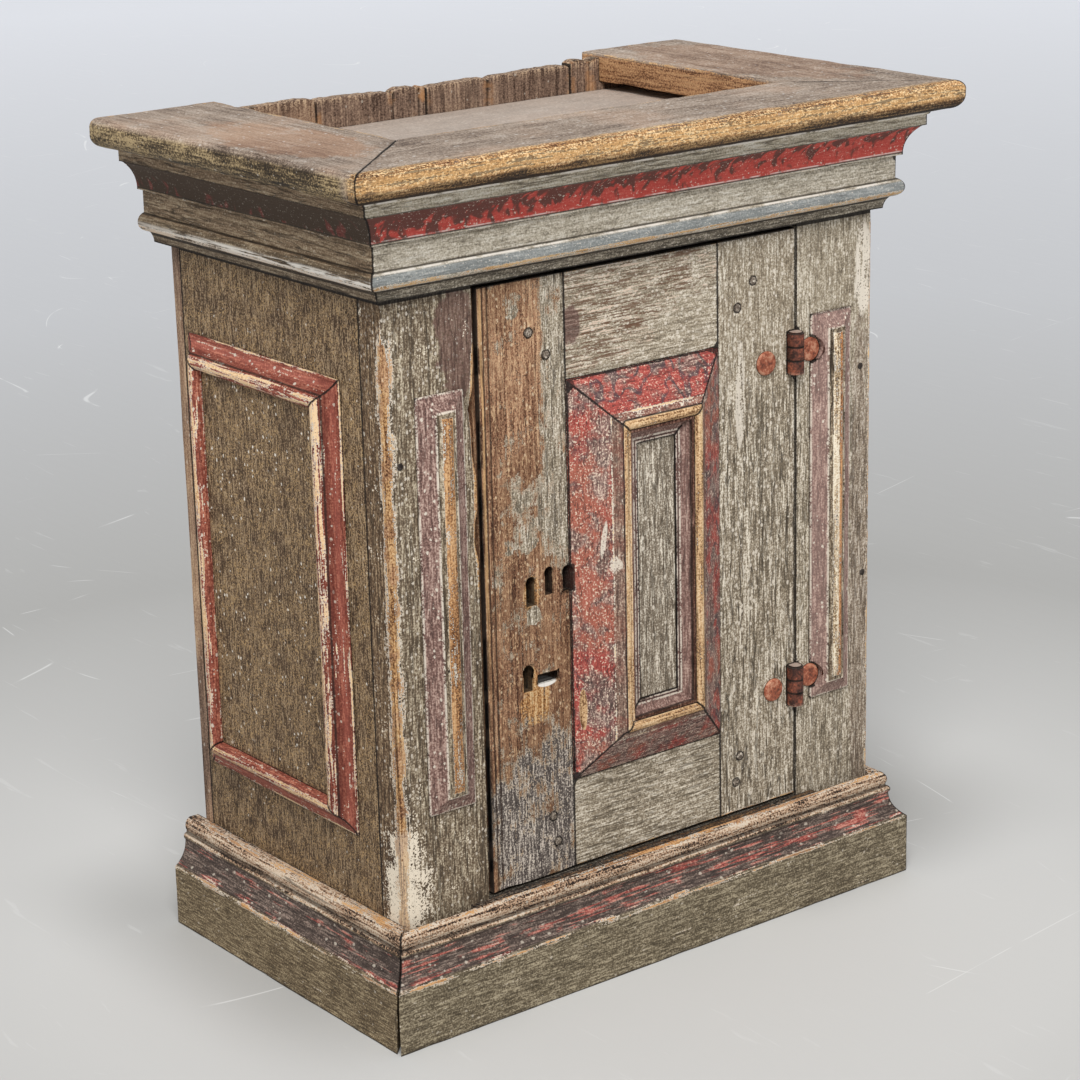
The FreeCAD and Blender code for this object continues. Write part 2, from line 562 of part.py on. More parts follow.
def door_panel(joint_hole):
    """Mitred sloping border, inner bead and raised field that fill the door's frame."""
    width = PANEL_RIGHT - PANEL_LEFT
    height = PANEL_TOP - PANEL_FOOT
    slope = BORDER_WIDTH - BORDER_CREST
    lip = BORDER_WIDTH + BORDER_LIP
    border = [(0.0, -BORDER_BACK), (lip, -BORDER_BACK), (lip, 0.0), (BORDER_WIDTH, 0.0),
              (BORDER_WIDTH, BORDER_RISE), (slope, BORDER_RISE, BORDER_CREST_ROUND),
              (slope - BORDER_QUIRK_WIDTH, BORDER_RISE - BORDER_QUIRK_DEPTH), (0.0, BORDER_EDGE)]
    bead_in = BORDER_WIDTH + INNER_BEAD_WIDTH
    bead_out = FIELD_THICKNESS + INNER_BEAD_RISE
    bead_edge = FIELD_THICKNESS + INNER_BEAD_EDGE
    bead_shoulder = BORDER_WIDTH + INNER_BEAD_FLAT
    bead = [(BORDER_WIDTH, FIELD_THICKNESS), (bead_in, FIELD_THICKNESS), (bead_in, bead_edge),
            (bead_in - INNER_BEAD_FLAT, bead_edge),
            (bead_shoulder, bead_out - INNER_BEAD_STEP, -INNER_BEAD_HOLLOW),
            (bead_shoulder, bead_out), (BORDER_WIDTH, bead_out)]
    x = (PANEL_LEFT + PANEL_RIGHT) / 2
    z = (PANEL_FOOT + PANEL_TOP) / 2
    pieces = {}
    for side, piece in zip(("left", "right", "bottom", "top"), mitred_frame(width, height, lip, border)):
        pieces["door_border_%s" % side] = placed(piece, x, BODY_FRONT, z).cut(joint_hole)
    beads = [placed(piece, x, BODY_FRONT, z) for piece in mitred_frame(width, height, bead_in, bead)]
    pieces["door_inner_bead"] = Part.makeCompound(beads)
    field_x = width / 2 - BORDER_WIDTH
    field_z = height / 2 - BORDER_WIDTH
    field = box(-field_x, field_x, -FIELD_THICKNESS, 0.0, -field_z, field_z)
    pieces["door_field"] = placed(field, x, BODY_FRONT, z)
    return pieces


def knuckle(z0, z1, radius=KNUCKLE_RADIUS):
    """Solid round section of a hinge barrel."""
    return Part.makeCylinder(radius, z1 - z0, V(HINGE_X, HINGE_Y, z0))


def leaf(z, edge, reach, room=0.0):
    """Iron leaf let into a wooden edge: a web behind the barrel and a plate hidden in the wood.

    A negative reach points to -X. Room grows it on all sides, for the slot in the wood.
    """
    sign = math.copysign(1.0, reach)
    low = z - HINGE_HEIGHT / 2 - room
    high = z + HINGE_HEIGHT / 2 + room
    plate_front = BODY_FRONT + LEAF_DEPTH - room
    plate_rear = BODY_FRONT + LEAF_DEPTH + LEAF_THICKNESS + room
    web_x = sorted((edge - sign * room, edge + sign * (LEAF_THICKNESS + room)))
    plate_x = sorted((edge - sign * room, edge + reach + sign * room))
    web = box(web_x[0], web_x[1], HINGE_Y, plate_rear, low, high)
    return web.fuse(box(plate_x[0], plate_x[1], plate_front, plate_rear, low, high)).removeSplitter()


def nail(x, z):
    """Big-headed nail driven through the wood and the hidden leaf."""
    head = cylinder_y(x, z, ROSETTE_RADIUS, BODY_FRONT - ROSETTE_HEIGHT, BODY_FRONT)
    crown = [edge for edge in head.Edges if edge.CenterOfMass.y < BODY_FRONT - ROSETTE_HEIGHT / 2
             and edge.Length > ROSETTE_RADIUS * math.pi]
    head = head.makeFillet(ROSETTE_ROUND, crown)
    return head.fuse(cylinder_y(x, z, NAIL_RADIUS, BODY_FRONT, BODY_FRONT + NAIL_LENGTH))


def hinges(wood):
    """Two barrel hinges with their pins and nails; cuts their slots and holes in the wood."""
    pieces = {}
    pins = []
    nails = {"door": [], "stile": []}
    boards = {"door": "door_hinge_stile", "stile": "front_stile_right"}
    for index, (name, z) in enumerate(zip(("lower", "upper"), HINGE_HEIGHTS)):
        foot = z - HINGE_HEIGHT / 2
        middle = foot + KNUCKLE_HEIGHT + KNUCKLE_GAP
        upper = middle + KNUCKLE_HEIGHT + KNUCKLE_GAP
        top = foot + HINGE_HEIGHT
        clear = KNUCKLE_RADIUS + KNUCKLE_CLEARANCE
        barrel_room = knuckle(foot - KNUCKLE_CLEARANCE, top + PIN_HEAD_HEIGHT + KNUCKLE_CLEARANCE, clear)
        middle_room = knuckle(middle - KNUCKLE_GAP, upper, clear)
        outer_rooms = knuckle(foot - MARGIN, middle, clear)
        outer_rooms = outer_rooms.fuse(knuckle(upper - KNUCKLE_GAP, top + MARGIN, clear))
        bore = knuckle(foot - MARGIN, top + MARGIN, PIN_RADIUS + PIN_CLEARANCE)
        edges = {"door": (DOOR_RIGHT, -DOOR_LEAF_REACH), "stile": (OPENING, STILE_LEAF_REACH)}
        rooms = {"door": outer_rooms, "stile": middle_room}
        knuckles = {"door": knuckle(middle, middle + KNUCKLE_HEIGHT),
                    "stile": knuckle(foot, foot + KNUCKLE_HEIGHT).fuse(knuckle(upper, top))}
        places = {"door": (DOOR_RIGHT - DOOR_NAIL_INSETS[index], z + DOOR_NAIL_RISES[index]),
                  "stile": (OPENING + STILE_NAIL_INSET, z + STILE_NAIL_RISES[index])}
        for half, board in boards.items():
            edge, reach = edges[half]
            nail_x, nail_z = places[half]
            hole = cylinder_y(nail_x, nail_z, NAIL_RADIUS + NAIL_CLEARANCE, BODY_FRONT - MARGIN,
                              BODY_FRONT + NAIL_LENGTH + NAIL_CLEARANCE)
            iron = leaf(z, edge, reach).cut(rooms[half]).fuse(knuckles[half]).cut(bore).cut(hole)
            pieces["hinge_%s_%s_leaf" % (name, half)] = iron.removeSplitter()
            wood[board] = wood[board].cut(barrel_room).cut(leaf(z, edge, reach, LEAF_CLEARANCE)).cut(hole)
            nails[half].append(nail(nail_x, nail_z))
        strip_front = BODY_FRONT - STRIP_CREST - MARGIN
        nail_room = cylinder_y(*places["stile"], ROSETTE_RADIUS + ROSETTE_CLEARANCE, strip_front, BODY_FRONT)
        wood["stile_strip_right"] = wood["stile_strip_right"].cut(nail_room)
        pin = knuckle(foot, top, PIN_RADIUS).fuse(knuckle(top, top + PIN_HEAD_HEIGHT, PIN_HEAD_RADIUS))
        pins.append(pin.removeSplitter())
    pieces["hinge_pins"] = Part.makeCompound(pins)
    for half in boards:
        pieces["hinge_nails_%s" % half] = Part.makeCompound(nails[half])
    return pieces


def lock(wood):
    """Iron lock on the inside of the lock stile, with a bolt that slides behind the front stile."""
    left = DOOR_LEFT + LOCK_INSET
    right = left + LOCK_WIDTH
    key_inset, key_z, key_width, key_length = KEYHOLES[0]
    low = key_z - LOCK_HEIGHT / 2
    high = key_z + LOCK_HEIGHT / 2
    plate_rear = FRONT_REAR + LOCK_THICKNESS
    plate = box(left, right, FRONT_REAR, plate_rear, low, high)
    plate = plate.cut(keyhole(DOOR_LEFT + key_inset, key_z, key_width, key_length,
                              FRONT_REAR - MARGIN, plate_rear + MARGIN))
    bolt_left = DOOR_LEFT + BOLT_INSET
    bolt_front = plate_rear + BOLT_CLEARANCE
    bolt_rear = bolt_front + BOLT_THICKNESS
    bolt_foot = key_z + BOLT_ABOVE_KEY - BOLT_HEIGHT / 2
    bolt_top = bolt_foot + BOLT_HEIGHT
    channel = box(bolt_left - MARGIN, right + MARGIN, plate_rear, bolt_rear + BOLT_CLEARANCE,
                  bolt_foot - BOLT_CLEARANCE, bolt_top + BOLT_CLEARANCE)
    for guide_left in (left + GUIDE_INSET, right - GUIDE_INSET - GUIDE_WIDTH):
        guide_rear = bolt_rear + BOLT_CLEARANCE + GUIDE_THICKNESS
        guide = box(guide_left, guide_left + GUIDE_WIDTH, plate_rear, guide_rear,
                    bolt_foot - BOLT_CLEARANCE - GUIDE_FOOT, bolt_top + BOLT_CLEARANCE + GUIDE_FOOT)
        plate = plate.fuse(guide.cut(channel))
    nails = []
    for x in (left + LOCK_NAIL_INSET, right - LOCK_NAIL_INSET):
        for z in (low + LOCK_NAIL_INSET, high - LOCK_NAIL_INSET):
            tip = plate_rear - LOCK_NAIL_LENGTH
            hole = cylinder_y(x, z, LOCK_NAIL_RADIUS + NAIL_CLEARANCE,
                              tip - NAIL_CLEARANCE, plate_rear + MARGIN)
            plate = plate.cut(hole)
            wood["door_lock_stile"] = wood["door_lock_stile"].cut(hole)
            head = cylinder_y(x, z, LOCK_NAIL_HEAD, plate_rear, plate_rear + LOCK_NAIL_HEAD_HEIGHT)
            nails.append(head.fuse(cylinder_y(x, z, LOCK_NAIL_RADIUS, tip, plate_rear)))
    return {
        "lock_plate": plate.removeSplitter(),
        "lock_bolt": box(bolt_left, bolt_left + BOLT_LENGTH, bolt_front, bolt_rear, bolt_foot, bolt_top),
        "lock_nails": Part.makeCompound(nails),
    }


def cabinet():
    """All the pieces by name."""
    tops = top_boards()
    pieces = carcass()
    pieces.update(tops)
    pieces.update(back_boards(tops))
    pieces.update(plinth())
    pieces.update(cornice())
    pieces.update(side_panels())
    strip_z = STRIP_FOOT + STRIP_LENGTH / 2
    pieces["stile_strip_left"] = placed(strip(), STRIP_INSETS[0] - HALF, BODY_FRONT, strip_z)
    pieces["stile_strip_right"] = placed(strip(), HALF - STRIP_INSETS[1], BODY_FRONT, strip_z)
    frame, joint_hole = door_frame()
    pieces.update(frame)
    pieces.update(door_panel(joint_hole))
    pieces.update(hinges(pieces))
    pieces.update(lock(pieces))
    return pieces


os.makedirs("parts", exist_ok=True)
for node, shape in cabinet().items():
    shape.exportStep("parts/%s.step" % node)
    print("%-28s %d solid(s) %10.1f mm3 valid %s" % (node, len(shape.Solids), shape.Volume, shape.isValid()))
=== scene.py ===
"""Old painted wall cabinet: worn boards, layered paint, rusted iron, floor, light and camera."""
import json
import math
import random

import bmesh
import bpy
import numpy as np
from mathutils import Matrix, Vector, noise
from mathutils.bvhtree import BVHTree

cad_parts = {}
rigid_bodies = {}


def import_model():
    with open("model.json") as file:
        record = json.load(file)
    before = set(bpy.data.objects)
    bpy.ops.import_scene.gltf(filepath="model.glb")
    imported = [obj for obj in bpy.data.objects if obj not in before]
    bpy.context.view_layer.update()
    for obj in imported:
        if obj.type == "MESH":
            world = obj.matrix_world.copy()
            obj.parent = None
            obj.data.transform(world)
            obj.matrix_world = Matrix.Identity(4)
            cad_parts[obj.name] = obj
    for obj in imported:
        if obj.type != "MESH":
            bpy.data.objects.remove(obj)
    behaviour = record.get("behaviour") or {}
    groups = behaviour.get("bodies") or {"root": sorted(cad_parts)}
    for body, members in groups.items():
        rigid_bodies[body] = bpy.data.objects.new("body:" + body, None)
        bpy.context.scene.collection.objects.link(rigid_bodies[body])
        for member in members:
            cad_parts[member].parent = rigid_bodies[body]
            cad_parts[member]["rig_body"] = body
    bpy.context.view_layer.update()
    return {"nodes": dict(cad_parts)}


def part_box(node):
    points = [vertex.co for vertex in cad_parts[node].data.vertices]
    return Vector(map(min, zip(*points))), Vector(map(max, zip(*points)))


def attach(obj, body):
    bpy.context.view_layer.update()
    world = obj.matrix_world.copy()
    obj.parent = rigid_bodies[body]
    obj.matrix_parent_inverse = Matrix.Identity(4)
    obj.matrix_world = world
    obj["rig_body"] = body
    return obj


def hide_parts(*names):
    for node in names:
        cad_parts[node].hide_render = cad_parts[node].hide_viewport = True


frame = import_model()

MM = 0.001
X, Y, Z = 0, 1, 2
BACKWARD = Vector((0, 1, 0))
FAR = 60 * MM  # edges further away than this have no say in the wear
GRID = 6 * MM
HIDDEN_GRID = 18 * MM

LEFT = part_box("side_board_left")[0].x
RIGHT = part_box("side_board_right")[1].x
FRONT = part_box("front_stile_left")[0].y
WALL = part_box("top_board_left")[1].y
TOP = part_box("top_board_left")[1].z
INNER_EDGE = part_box("front_stile_left")[1].x
DOOR_PANEL = ((-0.088, 0.197), (0.091, 0.576))  # lower left and upper right corner, on x and z
DOOR_HALF = 0.1865  # half the width of the door with its gaps
GAP_SHADOW_FOOT = (0.6740, 0.6747)  # soft edges of the painted shadow in the gap over the door
GAP_SHADOW_TOP = (0.6798, 0.6806)
GROOVES = (-0.1776, -0.1722)  # down the door's meeting edge
SPLITS = (-0.216, -0.127, -0.038, -0.008, 0.0, 0.075, 0.177, 0.203)  # along the back boards
SKIN = 0.8 * MM  # depth in from a side at which its paint begins
REACH = Vector((2.2 * MM,) * 3)  # pieces closer than this touch
CHIP_REACH = 4 * MM  # chips stay this close to a corner
FLARE, FLARE_WIDTH = 7 * MM, 62 * MM  # of the left top corner, at the wall
SPLINTER = 9 * MM  # depth of the left stile's missing splinters
SPLINTERS = ((0.555, 0.05), (0.453, 0.022))  # their heights and half lengths
FRAYED = 20 * MM  # the back boards' tops are ragged to this depth
# Fresh wood round two keyholes: middle on x and z, half width and half height
FRESH_WOOD = ((-0.1312, 0.3860, 0.0100, 0.0175), (-0.1355, 0.3020, 0.0105, 0.0170))
SWELL, RIPPLE, BITE, NICK = 26, 90, 34, 70  # waves per metre of dents and chips


# Worn boards

def body_of(node):
    """Name of the moving part that a solid belongs to."""
    return frame["nodes"][node]["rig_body"]


def solid_mesh(node):
    """Copy of a solid as a clean mesh with flat faces kept whole."""
    shape = bmesh.new()
    shape.from_mesh(frame["nodes"][node].data)
    bmesh.ops.remove_doubles(shape, verts=shape.verts[:], dist=0.002 * MM)
    bmesh.ops.dissolve_limit(shape, angle_limit=math.radians(0.6), verts=shape.verts[:],
                             edges=shape.edges[:], delimit={"NORMAL"})
    shape.normal_update()
    return shape


meshes = {node: solid_mesh(node) for node in frame["nodes"]}
trees = {node: BVHTree.FromBMesh(shape) for node, shape in meshes.items()}
boxes = {node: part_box(node) for node in frame["nodes"]}


def touches_other(node, point):
    """Whether another piece is close to a point of this one."""
    for other, tree in trees.items():
        if other == node:
            continue
        low, high = boxes[other]
        if all(low[i] - REACH[i] <= point[i] <= high[i] + REACH[i] for i in range(3)):
            if tree.find_nearest(point, REACH.x)[0] is not None:
                return True
    return False


def sharp_edges(shape, least=40.0):
    """Outward corners of a mesh, sharper than an angle in degrees."""
    return [edge for edge in shape.edges
            if len(edge.link_faces) == 2 and edge.calc_face_angle_signed(0.0) > math.radians(least)]


def roomy(edge, ease):
    """Whether the faces beside an edge are wide enough to ease it."""
    return min(face.calc_area() for face in edge.link_faces) / edge.calc_length() > 2.4 * ease


def ease_edges(shape, edges, ease, rounds):
    """Round some edges off."""
    chosen = [edge for edge in edges if edge.calc_length() > 1e-6 and roomy(edge, ease)]
    if chosen:
        bmesh.ops.bevel(shape, geom=chosen, offset=ease, affect="EDGES", segments=rounds, profile=0.5,
                        material=-1, clamp_overlap=True)


def cut_grid(shape, step, marks=()):
    """Cut all faces along a grid, and at some extra places given as (axis, position)."""
    for axis in range(3):
        low = min(vert.co[axis] for vert in shape.verts)
        high = max(vert.co[axis] for vert in shape.verts)
        count = int((high - low) / (step[axis] if isinstance(step, tuple) else step))
        places = [low + (high - low) * i / count for i in range(1, count)] if count > 1 else []
        places += [place for along, place in marks if along == axis]
        normal = Vector((0, 0, 0))
        normal[axis] = 1.0
        for place in places:
            point = Vector((0, 0, 0))
            point[axis] = place
            whole = shape.verts[:] + shape.edges[:] + shape.faces[:]
            bmesh.ops.bisect_plane(shape, geom=whole, dist=0.01 * MM, plane_co=point, plane_no=normal)


def nearest(points, segments):
    """Distance from each point to the nearest of some straight edges."""
    best = np.full(len(points), FAR)
    for start, end in segments:
        run = end - start
        along = np.clip(((points - start) @ run) / max(run @ run, 1e-12), 0, 1)
        best = np.minimum(best, np.linalg.norm(points - start - along[:, None] * run, axis=1))
    return best


def keep(mesh, name, kind, values):
    """Store a value for each vertex of a mesh."""
    layer = mesh.attributes.new(name, kind, "POINT")
    field = "vector" if kind == "FLOAT_VECTOR" else "value"
    layer.data.foreach_set(field, np.asarray(values, np.float32).ravel())


def put_in_scene(name, data):
    """New object in the scene."""
    made = bpy.data.objects.new(name, data)
    bpy.context.scene.collection.objects.link(made)
    return made


def finish_mesh(shape, name, body, material):
    """Turn a bmesh into a piece that rides on a body."""
    for face in shape.faces:
        face.smooth = True
    for edge in shape.edges:
        edge.smooth = len(edge.link_faces) != 2 or edge.calc_face_angle(0.0) < math.radians(38)
    mesh = bpy.data.meshes.new(name)
    shape.to_mesh(mesh)
    mesh.materials.append(material)
    piece = put_in_scene(name, mesh)
    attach(piece, body)
    return piece


def worn(node, material, grain, step=GRID, ease=1.1 * MM, seam_ease=0.8 * MM, dent=0.25 * MM,
         chip=0.9 * MM, marks=(), shaping=None, inward=None):
    """Copy of a board with eased and chipped edges and small dents; it stands for the board.

    Grain is the axis that the wood runs along. Shaping moves one vertex further, given its place and
    normal. Inward is the way that the board's bare inner face looks; on iron it is the way of the
    upward faces that get a painted highlight.
    """
    shape = meshes[node]
    seams = []
    corners = []
    for edge in sharp_edges(shape):
        ends = [np.array(vert.co) for vert in edge.verts]
        samples = [Vector(ends[0] + (ends[1] - ends[0]) * share) for share in (0.2, 0.5, 0.8)]
        hidden = sum(touches_other(node, sample) for sample in samples) > 1
        (seams if hidden else corners).append((edge, ends))
    seam_lines = [ends for edge, ends in seams]
    corner_lines = [ends for edge, ends in corners]
    ease_edges(shape, [edge for edge, ends in seams], seam_ease, 2)
    ease_edges(shape, sharp_edges(shape), ease, 3)
    cut_grid(shape, step, marks)
    shape.normal_update()
    shape.verts.ensure_lookup_table()
    points = np.array([vert.co for vert in shape.verts])
    arris = nearest(points, corner_lines)
    joint = nearest(points, seam_lines)
    seed = random.Random(node).uniform(0, 40)
    order = {0: (1, 2, 0), 1: (0, 2, 1), 2: (0, 1, 2)}[grain]
    grain_place = points[:, order] + seed
    unpainted = [float(inward is not None and vert.normal.dot(inward) > 0.8) for vert in shape.verts]
    for vert, near in zip(shape.verts, arris):
        place = Vector(vert.co)
        swell = noise.noise(place * SWELL + Vector((seed, 0, 0))) * dent
        swell += noise.noise(place * RIPPLE + Vector((0, seed, 0))) * dent * 0.4
        if near < CHIP_REACH:
            bite = noise.noise(place * BITE + Vector((0, 0, seed))) + 0.4 * noise.noise(place * NICK)
            swell -= max(0.0, bite) * chip * (1 - near / CHIP_REACH)
        move = vert.normal * swell
        if shaping:
            move = move + shaping(place, vert.normal)
        vert.co = place + move
        vert.co.z = max(vert.co.z, 0.0)
    piece = finish_mesh(shape, "worn_" + node, body_of(node), material)
    keep(piece.data, "grain", "FLOAT_VECTOR", grain_place)
    keep(piece.data, "arris", "FLOAT", arris)
    keep(piece.data, "joint", "FLOAT", joint)
    keep(piece.data, "unpainted", "FLOAT", unpainted)
    keep(piece.data, "plank", "FLOAT", np.full(len(points), random.Random(node + "tone").random()))
    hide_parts(node)
    return piece


# Colours and layers

def rgb(red, green, blue):
    """Colour as it looks on the screen, made linear."""
    parts = [part / 255 for part in (red, green, blue)]
    linear = [part / 12.92 if part <= 0.04045 else ((part + 0.055) / 1.055) ** 2.4 for part in parts]
    return (*linear, 1.0)


def blend(first, second, share):
    """Colour part of the way from one colour to another."""
    return tuple(a + (b - a) * share for a, b in zip(first, second))


class Shade:
    """A number, colour or vector that changes over a surface."""

    def __init__(self, look, socket):
        self.look = look
        self.socket = socket

    def sum(self, operation, first, second):
        return self.look.node("ShaderNodeMath", {"operation": operation}, {0: first, 1: second})

    def coat(self, share, tint, blend="MIX"):
        """This colour with a share of another over it."""
        return self.look.mix(share, self, tint, blend)

    def __add__(self, other):
        return self.sum("ADD", self, other)

    __radd__ = __add__

    def __sub__(self, other):
        return self.sum("SUBTRACT", self, other)

    def __rsub__(self, other):
        return self.sum("SUBTRACT", other, self)

    def __mul__(self, other):
        return self.sum("MULTIPLY", self, other)

    __rmul__ = __mul__

    def __truediv__(self, other):
        return self.sum("DIVIDE", self, other)

    def __abs__(self):
        return self.sum("ABSOLUTE", self, 0.0)

    def lesser(self, other):
        return self.sum("MINIMUM", self, other)

    def greater(self, other):
        return self.sum("MAXIMUM", self, other)

    def rise(self, low, high):
        """0 below low, 1 above high, smooth between."""
        return self.look.node("ShaderNodeMapRange", {"interpolation_type": "SMOOTHSTEP"},
                              {"Value": self, "From Min": low, "From Max": high})

    def fall(self, low, high):
        """1 below low, 0 above high, smooth between."""
        return 1 - self.rise(low, high)

    def fade(self, reach):
        """1 at 0, going straight down to 0 at some reach."""
        return 1 - (self / reach).lesser(1.0)

    def swing(self, amount):
        """A noise about one half, made a change by some amount about 0."""
        return (self - 0.5) * amount

    def veins(self, thin, wide):
        """1 on the lines where a noise crosses one half, 0 beside them."""
        return abs(self - 0.5).fall(thin, wide)

    def band(self, low, high, soft):
        """1 between low and high, 0 outside."""
        return self.rise(low - soft, low + soft) * self.fall(high - soft, high + soft)


class Finish:
    """A material in the making."""

    def __init__(self, name):
        self.material = bpy.data.materials.new(name)
        self.material.use_nodes = True
        self.tree = self.material.node_tree
        self.tree.nodes.clear()
        self.place = self.node("ShaderNodeTexCoord", out="Object")
        self.axes = self.node("ShaderNodeSeparateXYZ", sockets={0: self.place}, out=(0, 1, 2))

    def node(self, kind, settings=None, sockets=None, out=0):
        """Add a node: its settings first, then the values or links of its sockets."""
        node = self.tree.nodes.new(kind)
        for name, value in (settings or {}).items():
            if name == "stops":
                ramp = node.color_ramp
                while len(ramp.elements) < len(value):
                    ramp.elements.new(1.0)
                for element, (position, colour) in zip(ramp.elements, value):
                    element.position = position
                    element.color = colour
            else:
                setattr(node, name, value)
        for name, value in (sockets or {}).items():
            if isinstance(value, Shade):
                self.tree.links.new(value.socket, node.inputs[name])
            else:
                node.inputs[name].default_value = value
        if isinstance(out, tuple):
            return [Shade(self, node.outputs[name]) for name in out]
        return Shade(self, node.outputs[out]) if len(node.outputs) else None

    def stored(self, name, out="Fac"):
        """Value stored on the piece's vertices."""
        return self.node("ShaderNodeAttribute", {"attribute_name": name}, out=out)

    def stretched(self, vector, factors):
        return self.node("ShaderNodeVectorMath", {"operation": "MULTIPLY"}, {0: vector, 1: factors})

    def speckle(self, vector, scale, detail=3.0, rough=0.6, twist=0.0):
        """Cloudy noise about one half."""
        return self.node("ShaderNodeTexNoise", sockets={"Vector": vector, "Scale": scale, "Detail": detail,
                                                        "Roughness": rough, "Distortion": twist})

    def ramp(self, value, *stops):
        """Colour that follows a value through some stops."""
        return self.node("ShaderNodeValToRGB", {"stops": stops}, {0: value})

    def mix(self, share, first, second, blend="MIX"):
        return self.node("ShaderNodeMix", {"data_type": "RGBA", "blend_type": blend},
                         {0: share, 6: first, 7: second}, out=2)

    def rim(self, across, along, low, high):
        """Distance in from the edges of a rectangle on two axes, in millimetres."""
        inside = (across - low[0]).lesser(high[0] - across)
        return inside.lesser((along - low[1]).lesser(high[1] - along)) * 1000.0

    def close(self, colour, rough, height, relief, depth):
        """End the material: colour, roughness and relief from its layers."""
        normal = self.node("ShaderNodeBump", out="Normal",
                           sockets={"Strength": relief, "Distance": depth, "Height": height})
        surface = self.node("ShaderNodeBsdfPrincipled", sockets={
            "Base Color": colour, "Roughness": rough, "Specular IOR Level": 0.3, "Normal": normal})
        self.node("ShaderNodeOutputMaterial", sockets={"Surface": surface})
        return self.material


class Boards(Finish):
    """A material for boards, with the patterns that all of them share."""

    def __init__(self, name):
        super().__init__(name)
        self.grain = self.stored("grain", "Vector")
        self.arris = self.stored("arris")
        self.joint = self.stored("joint")
        self.plank = self.stored("plank")
        self.broad = self.speckle(self.grain, 9.0, 3.0, 0.55)
        self.cloud = self.speckle(self.grain, 42.0, 5.0, 0.62)
        self.fine = self.speckle(self.grain, 560.0, 2.0, 0.6)
        self.weave = self.drawn_out(0.32, 430.0, 2.0, 0.6, 1.6)
        self.streak = self.drawn_out(0.05, 420.0, 2.0, 0.55)
        self.fibre = self.drawn_out(0.10, 620.0, 2.0, 0.6, 0.5)
        self.figure = self.drawn_out(0.06, 60.0, 3.0, 0.55, 0.3)
        self.cracks = self.drawn_out(0.03, 70.0, 2.0, 0.5).veins(0.003, 0.010)
        curls = self.drawn_out(0.5, 230.0, 1.0, 0.5, 1.8).veins(0.006, 0.022)
        self.curls = curls * self.cloud.rise(0.36, 0.56) * self.fine.rise(0.36, 0.50)
        hairs = self.drawn_out(0.07, 150.0, 2.0, 0.55, 0.4).veins(0.008, 0.032)
        self.hairs = hairs * self.fine.rise(0.35, 0.5)
        spread = self.stretched(self.grain, (1.0, 1.0, 0.75))
        self.fleck_far, hue = self.node("ShaderNodeTexVoronoi", sockets={"Vector": spread, "Scale": 270.0},
                                        out=("Distance", "Color"))
        self.fleck_odds, self.fleck_size = self.node("ShaderNodeSeparateColor", sockets={0: hue}, out=(0, 1))

    def drawn_out(self, along, *pattern):
        """Noise drawn out along the grain."""
        return self.speckle(self.stretched(self.grain, (1.0, 1.0, along)), *pattern)

    def patch(self, across, along, middle, size, ragged=0.5):
        """1 inside a ragged oval on two axes, 0 outside."""
        first = (across - middle[0]) / size[0]
        second = (along - middle[1]) / size[1]
        edge = first * first + second * second + self.cloud.swing(4.0 * ragged)
        return edge.fall(0.7, 1.1)

    def flecks(self, share, size=0.3):
        """Small scattered specks, on a share of places four millimetres apart."""
        edge = self.fleck_far + self.fine.swing(0.8)
        limit = (self.fleck_size + 0.35) * (size * 1.2)
        return edge.fall(limit * 0.7, limit) * self.fleck_odds.rise(1 - share, 1.02 - share)

    def grit(self, level):
        """Fine uneven specks, fewer as the level rises."""
        return (self.fine * 0.6 + self.weave * 0.4).rise(level, level + 0.04)

    def wood(self, dark, middle, light, deep=1.0):
        """Bare board in three shades: figure, fibres and fine cracks."""
        dark, middle, light = rgb(*dark), rgb(*middle), rgb(*light)
        tone = 0.5 + self.figure.swing(0.9 * deep) + self.streak.swing(1.7 * deep)
        tone = tone + self.fine.swing(2.0 * deep) + self.broad.swing(0.7)
        tone = tone + self.cloud.swing(0.6 * deep)
        colour = self.ramp(tone, (0.14, dark), (0.5, middle), (0.84, light))
        return colour.coat(self.cracks * (0.5 * deep), (*(part * 0.3 for part in dark[:3]), 1.0))

    def paint(self, dark, middle, light, curl=1.0, lines=1.0, contrast=1.0):
        """Old mottled paint in three shades: pale curled brush lines and dark hairlines along the grain."""
        dark, middle, light = rgb(*dark), rgb(*middle), rgb(*light)
        tone = 0.5 + self.cloud.swing(0.35) + self.broad.swing(0.4)
        tone = tone + self.fine.swing(1.9 * contrast) + self.weave.swing(0.7 * contrast)
        tone = tone + self.fibre.swing(1.9 * contrast) + self.streak.swing(1.0 * lines)
        middle = blend(middle, dark, 0.15 * contrast)
        colour = self.ramp(tone, (0.08, blend(dark, middle, 0.3)), (0.5, middle), (0.95, light))
        return colour.coat(self.hairs * (0.75 * lines), dark).coat(self.curls * (0.45 * curl), light)

    def flaked(self, paint, ground, bare, wear):
        """Paint over pale ground over bare wood, worn through as wear goes from 0 to 1."""
        worn_off = wear.rise(0.52, 0.58)
        return paint.coat(wear.rise(0.42, 0.47), ground).coat(worn_off, bare), worn_off

    def ragged(self, cloudy=1.2, fine=0.9, along=0.8):
        """Noise that breaks up the edge of worn places."""
        return self.cloud.swing(cloudy) + self.fine.swing(fine) + self.streak.swing(along)

    def corner(self, reach):
        """1 on the corners of a board, falling to 0 at some distance from them."""
        near = self.arris.fade(reach)
        return near * near


